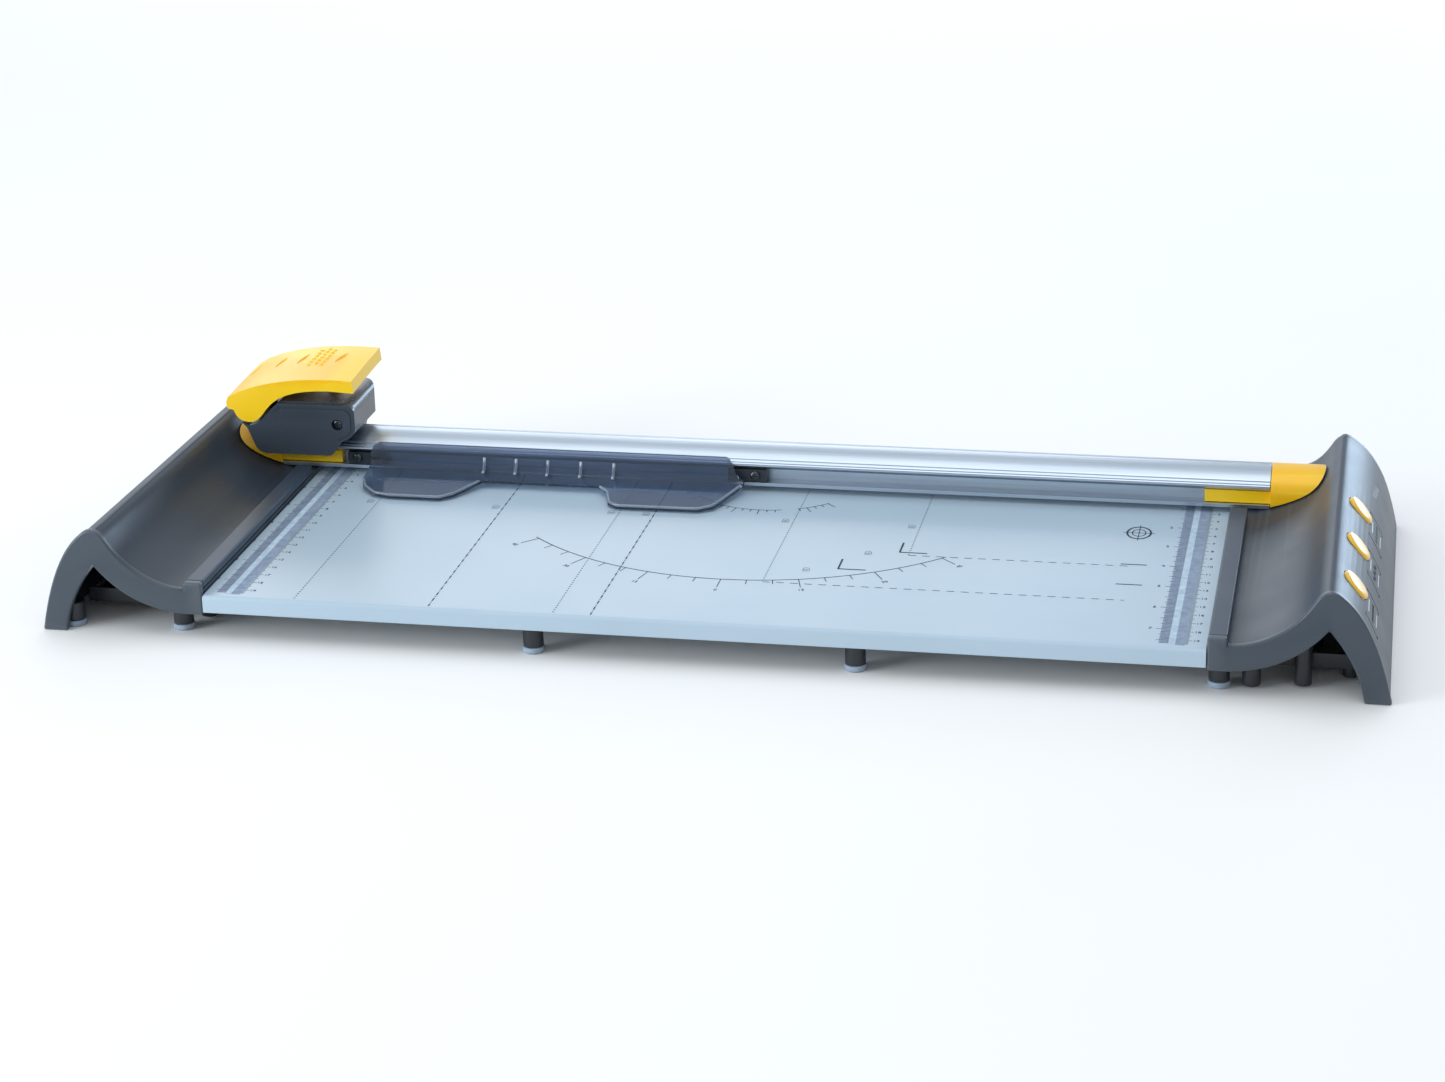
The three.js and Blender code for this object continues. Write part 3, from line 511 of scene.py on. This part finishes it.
def page_mark(ink, x, y):
    """A small page with a folded corner."""
    w, h, fold = 3.0, 4.2, 1.1
    ink.ribbon([(x, y), (x + w, y), (x + w, y + h - fold), (x + w - fold, y + h), (x, y + h),
                (x, y)], 0.2)
    for row in (1.2, 2.1):
        ink.line(x + 0.6, y + row, x + w - 0.6, y + row, 0.16)


def print_sheet_lines(ink):
    for x, kind in SHEET_LINES:
        pattern = DOTS if kind == "dots" else MIXED
        ink.dashes(x, CUT_LINE - 24, x, BOARD_LOW.y / MM + 3, pattern, 0.6)
        page_mark(ink, x - MARK_LEFT, CUT_LINE - MARK_DEPTH)
    for x, depth in SHORT_SHEETS:
        ink.dashes(x, CUT_LINE - 22, x, CUT_LINE - depth, DOTS, 0.6)
        ink.dashes(x, CUT_LINE - depth, LINE_END, CUT_LINE - depth, DASHES, 0.45)
        page_mark(ink, x - MARK_LEFT, CUT_LINE - MARK_DEPTH)
    for x, depth in CORNERS:
        ink.line(x, CUT_LINE - depth, x, CUT_LINE - depth + 12.6, 0.9)
        ink.line(x - 0.45, CUT_LINE - depth, x + 13, CUT_LINE - depth, 0.9)
        page_mark(ink, x - 16, CUT_LINE - depth - 5)
    for depth in SHORT_BARS:
        ink.line(BAR_X[0], CUT_LINE - depth, BAR_X[1], CUT_LINE - depth, 0.8)


PROTRACTOR = (3.8, CUT_LINE - 8.0)
ARC_END, ARC_STEPS = 46, 60  # degrees to each side, and straight parts in a span
# radius, line width, long tick, short tick, angles left blank
ARCS = [(138.0, 0.5, 10, 5, None), (45.0, 0.4, 6, 3, (14, 24))]


def print_protractor(ink):
    """Two arcs round a centre near the cut line, the larger one numbered."""
    def at(angle, radius):
        turn = math.radians(angle)
        return (PROTRACTOR[0] + radius * math.sin(turn), PROTRACTOR[1] - radius * math.cos(turn))

    for radius, width, long_tick, short_tick, gap in ARCS:
        spans = [(-ARC_END, gap[0]), (gap[1], ARC_END)] if gap else [(-ARC_END, ARC_END)]
        for first, last in spans:
            ink.ribbon([at(first + (last - first) * i / ARC_STEPS, radius)
                        for i in range(ARC_STEPS + 1)], width)
        for angle in range(-45, 50, 5):
            if gap and gap[0] < angle < gap[1]:
                continue
            length = long_tick if angle % 15 == 0 else short_tick
            ink.ribbon([at(angle, radius), at(angle, radius + length)], 0.4)
            if angle % 15 == 0 and gap is None:
                ink.number(abs(angle), *at(angle, radius + length + 3.4), 3.2, turn=angle)


TARGET = (189.5, CUT_LINE - 60)
TARGET_RINGS, TARGET_STRETCH, TARGET_STEPS = ((5.6, 0.9), (3.2, 0.5)), 1.4, 48


def print_target(ink):
    """A plain double ring with a cross, at the right of the board."""
    cx, cy = TARGET
    for radius, width in TARGET_RINGS:
        turns = [2 * math.pi * i / TARGET_STEPS for i in range(TARGET_STEPS + 1)]
        ink.ribbon([(cx + radius * math.cos(turn), cy + radius * TARGET_STRETCH * math.sin(turn))
                    for turn in turns], width)
    ink.line(cx - 7.5, cy, cx + 7.5, cy, 0.4)
    ink.line(cx, cy - 10, cx, cy + 10, 0.4)


INK_OVER_BANDS = 0.03


def print_board():
    ink, bands, pale = Ink(PRINT_Z + INK_OVER_BANDS * MM), Ink(PRINT_Z), Ink(PRINT_Z)
    print_rulers(ink, bands, pale)
    print_sheet_lines(ink)
    print_protractor(ink)
    print_target(ink)
    ink.finished("board_printed_lines", printing_ink("ink_dark", (0.03, 0.042, 0.065)))
    bands.finished("board_printed_bands", printing_ink("ink_band", (0.25, 0.31, 0.41)))
    pale.finished("board_printed_stripes", printing_ink("ink_pale", (0.46, 0.57, 0.66)))


# ---------------------------------------------------------------- cut and raised details
def carved(piece, cutters):
    """Takes the solids in cutters away from a piece, before its other modifiers."""
    tool = new_object(f"{piece.name}_cutter", cutters, FINISHES["black_plastic"])
    modifier = piece.modifiers.new("carve", "BOOLEAN")
    modifier.operation = "DIFFERENCE"
    modifier.solver = "EXACT"
    modifier.object = tool
    piece.modifiers.move(len(piece.modifiers) - 1, 0)
    others = [m for m in piece.modifiers if m != modifier]
    for other in others:
        other.show_viewport = False
    bpy.context.view_layer.update()
    depsgraph = bpy.context.evaluated_depsgraph_get()
    mesh = bpy.data.meshes.new_from_object(piece.evaluated_get(depsgraph))
    if not mesh.polygons:
        raise RuntimeError(f"carving left nothing of {piece.name}")
    for other in others:
        other.show_viewport = True
    piece.modifiers.remove(modifier)
    piece.data = mesh
    tool_mesh = tool.data
    bpy.data.objects.remove(tool)
    bpy.data.meshes.remove(tool_mesh)
    mesh.shade_smooth()
    mesh.set_sharp_from_angle(angle=math.radians(SMOOTH_ANGLE))


def add_ellipsoid(bm, center, half_axes, turn, rings):
    """half_axes in mm, center in metres; turn is a 3x3 rotation."""
    scale = Matrix.Diagonal([half * MM for half in half_axes] + [1])
    matrix = Matrix.Translation(center) @ turn.to_4x4() @ scale
    bmesh.ops.create_uvsphere(bm, u_segments=rings[0], v_segments=rings[1], radius=1,
                              matrix=matrix)


def add_box(bm, low, high):
    """A box between two corners in metres."""
    low, high = Vector(low), Vector(high)
    size = Matrix.Diagonal([*(high - low), 1])
    bmesh.ops.create_cube(bm, size=1, matrix=Matrix.Translation((low + high) / 2) @ size)


def add_lathe(bm, profile, center, axis, segments=48):
    """Turns a profile of (radius, height) in mm around an axis through center."""
    axis = Vector(axis).normalized()
    side = axis.orthogonal().normalized()
    other = axis.cross(side)
    rings = []
    for radius, height in profile:
        at = Vector(center) + axis * height * MM
        if radius == 0:
            rings.append([bm.verts.new(at)])
            continue
        rings.append([bm.verts.new(at + (side * math.cos(a) + other * math.sin(a)) * radius * MM)
                      for a in (2 * math.pi * i / segments for i in range(segments))])
    for a, b in zip(rings, rings[1:]):
        for i in range(segments):
            j = (i + 1) % segments
            corners = [a[i % len(a)], a[j % len(a)], b[j % len(b)], b[i % len(b)]]
            bm.faces.new(list(dict.fromkeys(corners)))


def top_at(tree, x, y):
    """The highest point of a surface at x, y in mm, and the surface's direction there."""
    return tree.ray_cast(Vector((x * MM, y * MM, 0.3)), Vector((0, 0, -1)))[:2]


def split_up(points, parts_in):
    """The same line with more points; parts_in(length) is how many parts a stretch becomes."""
    line = []
    for start, end in zip(points, points[1:]):
        start, end = Vector(start), Vector(end)
        parts = max(1, parts_in((end - start).length))
        line += [start.lerp(end, i / parts) for i in range(parts)]
    return line + [Vector(points[-1])]


# Finger grooves across the lever and a block of grip dots; y is from the cut line.
LEVER_GROOVES = [-268.3, -254.2, -242.2, -221.6]
GROOVE_LENGTH, GROOVE_MIDDLE, GROOVE_SLANT = 15, -5, 1.6
GROOVE_HALF_WIDTH, GROOVE_HALF_HEIGHT, GROOVE_RISE = 1.5, 1.25, 0.55
DOT_COLUMNS = [-236.4, -232.9, -229.4]
DOT_ROWS, DOT_FIRST, DOT_STEP, DOT_SLANT = 6, -14.5, 4.1, 0.18
DOT_RADIUS, DOT_HEIGHT, LEAST_DOT = 1.15, 0.6, 0.1


def dress_lever(lever):
    """Shallow finger grooves, and raised grip dots that stay under the CAD box's top."""
    tree = surface_of(lever)
    grooves = bmesh.new()
    for x in LEVER_GROOVES:
        ends = [top_at(tree, x + sign * GROOVE_SLANT,
                       CUT_LINE + GROOVE_MIDDLE + sign * GROOVE_LENGTH / 2) for sign in (-1, 1)]
        (low, low_up), (high, high_up) = ends
        along = (high - low).normalized()
        up = (low_up + high_up).normalized()
        across = along.cross(up).normalized()
        turn = Matrix((across, along, across.cross(along))).transposed()
        middle = (low + high) / 2 + up * GROOVE_RISE * MM
        add_ellipsoid(grooves, middle, (GROOVE_HALF_WIDTH, GROOVE_LENGTH / 2, GROOVE_HALF_HEIGHT),
                      turn, (32, 16))
    carved(lever, grooves)
    dots = bmesh.new()
    for column, x in enumerate(DOT_COLUMNS):
        for row in range(DOT_ROWS):
            y = CUT_LINE + DOT_FIRST + DOT_STEP * (row + (0.5 if column == 1 else 0))
            point, up = top_at(tree, x + DOT_SLANT * row, y)
            height = min(DOT_HEIGHT, (CAD_BOX[1][2] - point.z) / MM - 0.02)
            if height > LEAST_DOT:
                turn = Vector((0, 0, 1)).rotation_difference(up).to_matrix()
                add_ellipsoid(dots, point, (DOT_RADIUS, DOT_RADIUS, height), turn, (14, 8))
    attach(new_object("lever_grip_dots", dots, FINISHES["yellow_plastic"]), BODY_OF["lever"],
           "yellow_plastic")


STEP_LINE_WIDTH, STEP_LINE_DEPTH, STEP_LINE_CORNER, STEP_LINE_TURNS = 0.45, 0.35, 4, 8


def dress_front_plate(plate):
    """A fine step line runs along the plate's top and down its right side."""
    low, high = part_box("carriage_front_plate")
    right, top = high.x / MM, high.z / MM
    line = [(-249.5, 55.2), (-246.2, top - 2.1), (right - 6.2, top - 2.1)]
    for i in range(1, STEP_LINE_TURNS + 1):
        angle = math.pi / 2 * (1 - i / STEP_LINE_TURNS)
        line.append((right - 6.2 + STEP_LINE_CORNER * math.cos(angle),
                     top - 6.1 + STEP_LINE_CORNER * math.sin(angle)))
    line += [(right - 2.2, 47.5), (right - 4.4, 44.6), (-215.5, 41.8)]
    groove = Ink(0)
    groove.THICKNESS = 1.0
    groove.ribbon(line, STEP_LINE_WIDTH)
    to_front = Matrix(((1, 0, 0, 0), (0, 0, -1, low.y + STEP_LINE_DEPTH * MM), (0, 1, 0, 0),
                       (0, 0, 0, 1)))
    groove.bm.transform(to_front)
    carved(plate, groove.bm)


# Heights of the lines on the rail's front, and places of those on its top from the cut line.
FRONT_LINES, TOP_LINES = (34.9, 35.8, 36.9), (-5.2, -6.6)
RAIL_LINE_HALF_LENGTH, RAIL_LINE_HALF_WIDTH, RAIL_LINE_DEPTH = 252, 0.17, 0.25


def dress_rail(rail):
    """Fine grooves along the rail, on the arch's front and top."""
    tree = surface_of(rail)
    lines = bmesh.new()
    x1, half, depth = (size * MM for size in (RAIL_LINE_HALF_LENGTH, RAIL_LINE_HALF_WIDTH,
                                              RAIL_LINE_DEPTH))
    for z in FRONT_LINES:
        hit = tree.ray_cast(Vector((0.1, -0.05, z * MM)), Vector((0, 1, 0)))[0]
        add_box(lines, (-x1, hit.y - MM, hit.z - half), (x1, hit.y + depth, hit.z + half))
    for y in TOP_LINES:
        hit = top_at(tree, 100, CUT_LINE + y)[0]
        add_box(lines, (-x1, hit.y - half, hit.z - depth), (x1, hit.y + half, hit.z + MM))
    carved(rail, lines)


# Rib places along the guide, a rib's front from top to bottom, and the two finger pads' front
# edges; y is from the cut line.
GUIDE_RIBS = [-141.5, -125, -108.5, -91.5, -74.5]
RIB_SPINE = [(-29.3, 33.6), (-30.0, 30.4), (-31.4, 28.0), (-33.6, 26.6)]
PAD_EDGES = [
    [(-200.6, -45), (-197.4, -52.6), (-190.4, -60), (-182, -62), (-156.6, -62), (-150.8, -57.2),
     (-141.4, -41.6)],
    [(-78.8, -41.8), (-74.2, -46.4), (-70.2, -58.6), (-65.6, -62), (-25.6, -61.5), (-19, -57.2),
     (-9.4, -34)],
]
RIB_BEAD, PAD_BEAD, PAD_BEAD_RISE = 0.8, 0.7, 0.25


def tube(bm, points, radius, sides=10):
    """A round bead along points in mm."""
    points = [Vector(p) * MM for p in points]
    rings = []
    for i, point in enumerate(points):
        along = (points[min(i + 1, len(points) - 1)] - points[max(i - 1, 0)]).normalized()
        side = along.cross(Vector((0.31, 0.17, 0.93))).normalized()
        other = along.cross(side)
        rings.append([bm.verts.new(point + (side * math.cos(a) + other * math.sin(a)) * radius * MM)
                      for a in (2 * math.pi * k / sides for k in range(sides))])
    for a, b in zip(rings, rings[1:]):
        for k in range(sides):
            m = (k + 1) % sides
            bm.faces.new((a[k], a[m], b[m], b[k]))
    for ring in (rings[0], rings[-1]):
        bm.faces.new(ring)


def dress_guide(guide):
    """Rounded rib fronts and a bead along each finger pad's edge, in clear plastic tinted paler
    than the guide to paint highlights along them.
    """
    tree = surface_of(guide)
    ribs, edges = bmesh.new(), bmesh.new()
    for x in GUIDE_RIBS:
        tube(ribs, [(x, CUT_LINE + y, z) for y, z in RIB_SPINE], RIB_BEAD)
    for edge in PAD_EDGES:
        path = split_up(edge, lambda length: round(length / 3))
        tops = [top_at(tree, p.x, CUT_LINE + p.y)[0].z / MM for p in path]
        tube(edges, [(p.x, CUT_LINE + p.y, top + PAD_BEAD_RISE) for p, top in zip(path, tops)],
             PAD_BEAD)
    for name, bm, finish in (("guide_rib_fronts", ribs, "rib_highlight_clear"),
                             ("guide_pad_edges", edges, "edge_highlight_clear")):
        attach(new_object(name, bm, FINISHES[finish]), BODY_OF["paper_guide"], "clear_plastic")


BUTTON_OUT = Vector((0.765, 0, 0.644)).normalized()  # the way the buttons face
DOME = 0.42  # how far a button's middle stands over its face's edge


def make_buttons():
    """Softly domed buttons with a rolled rim."""
    out = BUTTON_OUT
    for number in (1, 2, 3):
        node = f"storage_button_{number}"
        points = [v.co for v in frame["nodes"][node].data.vertices]
        reach = [p.dot(out) for p in points]
        middle = sum(points, Vector()) / len(points)
        base = middle + out * (min(reach) - middle.dot(out))
        depth = (max(reach) - min(reach)) / MM
        radius = max((p - middle - out * (p - middle).dot(out)).length / MM for p in points)
        profile = [(0, 0), (radius, 0), (radius, depth - 1.5), (radius - 0.12, depth - 1.05),
                   (radius - 0.42, depth - 0.66), (radius - 0.95, depth - DOME)]
        profile += [(radius * k, depth - DOME * k * k) for k in (0.75, 0.5, 0.25)] + [(0, depth)]
        bm = bmesh.new()
        add_lathe(bm, profile, base, out)
        piece = new_object(f"{node}_domed", bm, FINISHES["button_yellow"])
        attach(piece, BODY_OF[node], SLOT_OF[node], node)


SCREWS = {"left_guide_screw": 2.35, "right_guide_screw": 2.35, "front_plate_screw": 2.45}  # heads
SHANK_RADIUS, HEAD_HEIGHT, RECESS_ARM, RECESS_HALF_WIDTH, RECESS_DEPTH = 1.15, 1.05, 1.5, 0.22, 0.6


def make_screw(node, head_radius):
    """A pan head with a cross recess, facing the front."""
    low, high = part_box(node)
    center = Vector(((low.x + high.x) / 2, low.y, (low.z + high.z) / 2))
    length = (high.y - low.y) / MM
    profile = [(0, 0), (head_radius - 0.7, 0), (head_radius - 0.25, 0.18), (head_radius, 0.55),
               (head_radius, HEAD_HEIGHT), (SHANK_RADIUS, HEAD_HEIGHT), (SHANK_RADIUS, length),
               (0, length)]
    bm = bmesh.new()
    add_lathe(bm, profile, center, (0, 1, 0), 36)
    piece = new_object(f"{node}_cross_head", bm, FINISHES[SLOT_OF[node]], 30)
    cross = bmesh.new()
    half, arm = RECESS_HALF_WIDTH * MM, RECESS_ARM * MM
    outline = [(arm, half), (half, half), (half, arm)]
    outline += [(-z, x) for x, z in outline]
    outline += [(-x, -z) for x, z in outline]
    ends = [[cross.verts.new(center + Vector((x, y * MM, z))) for x, z in outline]
            for y in (-1, RECESS_DEPTH)]
    for ring in ends:
        cross.faces.new(ring)
    for i in range(len(outline)):
        cross.faces.new((ends[0][i - 1], ends[0][i], ends[1][i], ends[1][i - 1]))
    carved(piece, cross)
    attach(piece, BODY_OF[node], SLOT_OF[node], node)


WIRE_RADIUS, SPRING_TURNS, SPRING_STEPS = 0.4, 5, 160


def make_spring():
    """The lever's return spring, wound round."""
    low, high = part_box("lever_spring")
    center = (low + high) / 2 / MM
    reach = (high.x - low.x) / 2 / MM - WIRE_RADIUS
    bottom, top = low.z / MM + WIRE_RADIUS, high.z / MM - WIRE_RADIUS
    points = []
    for i in range(SPRING_STEPS + 1):
        angle = 2 * math.pi * SPRING_TURNS * i / SPRING_STEPS
        points.append((center.x + reach * math.cos(angle), center.y + reach * math.sin(angle),
                       bottom + (top - bottom) * i / SPRING_STEPS))
    bm = bmesh.new()
    tube(bm, points, WIRE_RADIUS, 12)
    piece = new_object("lever_spring_coil", bm, FINISHES["steel"])
    attach(piece, BODY_OF["lever_spring"], SLOT_OF["lever_spring"], "lever_spring")
    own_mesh(piece)


BLADE_BORE, GRIND_WIDTH = 2.3, 1.6  # radius of the bore, and width of the ground edge


def make_blade():
    """A thin disc ground to an edge on both faces, round a plain bore."""
    low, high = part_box("rotary_blade")
    middle = (low + high) / 2
    radius = (high.z - low.z) / 2 / MM
    half = (high.y - low.y) / 2 / MM
    inner = radius - GRIND_WIDTH
    profile = [(BLADE_BORE, -half), (inner, -half), (radius, 0), (inner, half),
               (BLADE_BORE, half), (BLADE_BORE, -half)]
    bm = bmesh.new()
    add_lathe(bm, profile, middle, (0, 1, 0), 96)
    bmesh.ops.remove_doubles(bm, verts=bm.verts, dist=1e-6)
    piece = new_object("rotary_blade_ground", bm, FINISHES["steel"], 8)
    attach(piece, BODY_OF["rotary_blade"], SLOT_OF["rotary_blade"], "rotary_blade")


# ---------------------------------------------------------------- marks on the right leg
MARK_LIFT, MARK_SUNK = 0.05, 0.02  # how far a mark stands over the surface and goes into it


def drape(bm, tree, points, width):
    """A thin band laid on the right leg along points (y, z) in mm."""
    line = split_up(points, math.ceil)
    rings = []
    for i, point in enumerate(line):
        along = (line[min(i + 1, len(line) - 1)] - line[max(i - 1, 0)]).normalized()
        across = Vector((-along.y, along.x)) * width / 2
        ring = []
        for spot in (point + across, point - across):
            hit, up = tree.ray_cast(Vector((0.36, spot.x * MM, spot.y * MM)),
                                    Vector((-1, 0, 0)))[:2]
            ring += [bm.verts.new(hit + up * h * MM) for h in (-MARK_SUNK, MARK_LIFT)]
        rings.append(ring)
    for a, b in zip(rings, rings[1:]):
        for i, j in ((0, 1), (1, 3), (3, 2), (2, 0)):
            bm.faces.new((a[i], a[j], b[j], b[i]))
    for ring in (rings[0], rings[-1]):
        bm.faces.new([ring[i] for i in (0, 1, 3, 2)])


# Along the casing, places are from the button's middle; top and bottom are heights.
PANEL = {"front": -17, "back": 13, "top": 35.5, "bottom": 24}
PANEL_TURN, PANEL_BARS, PANEL_BAR_RISE = 2.4, (-9, 5), 3.8
# Each stroke's points: along the casing, and from the panel's middle height, drawn at STROKE_RISE.
STROKE_RISE = 0.4
CUT_STYLES = {
    "straight": [[(-12, 0), (8, 0)]],
    "wavy": [[(-12 + i, 1.6 * math.sin(i * 0.95)) for i in range(21)]],
    "dashed": [[(-12 + i * 4.4, 0), (-9.6 + i * 4.4, 0)] for i in range(5)],
}


def mark_leg(casing):
    """Beside each button a plain outlined panel shows a cut style."""
    tree = surface_of(casing)
    dark, pale = bmesh.new(), bmesh.new()
    for number, strokes in zip((1, 2, 3), CUT_STYLES.values()):
        low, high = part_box(f"storage_button_{number}")
        middle = (low.y + high.y) / 2 / MM
        front, back = middle + PANEL["front"], middle + PANEL["back"]
        for y, turn in ((front, PANEL_TURN), (back, -PANEL_TURN)):
            drape(dark, tree, [(y + turn, PANEL["top"]), (y, PANEL["top"]),
                               (y, PANEL["bottom"]), (y + turn, PANEL["bottom"])], 0.8)
        center = (PANEL["top"] + PANEL["bottom"]) / 2
        for stroke in strokes:
            drape(dark, tree, [(middle + u, center + STROKE_RISE * v) for u, v in stroke], 1.5)
        for z in (center + PANEL_BAR_RISE, center - PANEL_BAR_RISE):
            drape(pale, tree, [(middle + y, z) for y in PANEL_BARS], 0.8)
    for i in range(5):  # a row of short slanted strokes behind the panels
        drape(pale, tree, [(60 + 4 * i, 34.5 - 0.5 * i), (62.5 + 4 * i, 31.5 - 0.5 * i)], 0.6)
    for name, bm, color in (("leg_marks_dark", dark, (0.012, 0.014, 0.02)),
                            ("leg_marks_pale", pale, (0.62, 0.68, 0.74))):
        attach(new_object(name, bm, printing_ink(name, color)), "base", "casing_plastic")


# ---------------------------------------------------------------- plain rounded pieces
# The width of each piece's rounded edges in mm, and the faces across them.
ROUNDED = {
    "base_board": (0.35, 2),
    "front_cross_member": (0.6, 2), "rear_cross_member": (0.6, 2),
    "left_casing": (0.5, 3), "right_casing": (0.5, 3),
    "left_front_plate": (1.1, 4), "right_front_plate": (1.1, 4),
    "left_rear_plate": (0.6, 3), "right_rear_plate": (0.6, 3),
    "left_fence": (0.7, 3), "right_fence": (0.7, 3),
    "left_bottom_tray": (0.3, 2), "right_bottom_tray": (0.3, 2),
    "left_rail_cap": (0.7, 3), "right_rail_cap": (0.7, 3),
    "left_guide_shoe": (0.5, 2), "right_guide_shoe": (0.5, 2),
    "carriage_body": (1.0, 3), "carriage_rear_cover": (0.5, 2),
    "carriage_front_plate": (0.7, 3),
    "stored_cartridge_1": (0.4, 2), "stored_cartridge_2": (0.4, 2), "stored_cartridge_3": (0.4, 2),
    "front_glide": (0.3, 2), "rear_glide": (0.3, 2),
    "blade_carrier": (0.3, 2), "blade_cartridge": (0.3, 2),
    "paper_guide": (0.3, 2),
    "lever": (1.6, 4),
    "rail": (0.2, 2),
}


def round_pieces():
    feet = {node: (0.5, 3) for node in frame["nodes"]
            if node.endswith(("_post", "_tip", "_foot"))}
    return {node: refined(node, *spec) for node, spec in {**ROUNDED, **feet}.items()}


def finish_cad_nodes():
    """Every CAD node gets its procedural finish in place of the plain one."""
    for node, cad in frame["nodes"].items():
        cad.data.materials.clear()
        cad.data.materials.append(FINISHES[SLOT_OF[node]].material)


# ---------------------------------------------------------------- build
add_camera()
add_stage()
made = round_pieces()
dress_lever(made["lever"])
dress_front_plate(made["carriage_front_plate"])
dress_rail(made["rail"])
dress_guide(made["paper_guide"])
make_buttons()
for screw, screw_radius in SCREWS.items():
    make_screw(screw, screw_radius)
make_spring()
make_blade()
mark_leg(made["right_casing"])
print_board()
finish_cad_nodes()
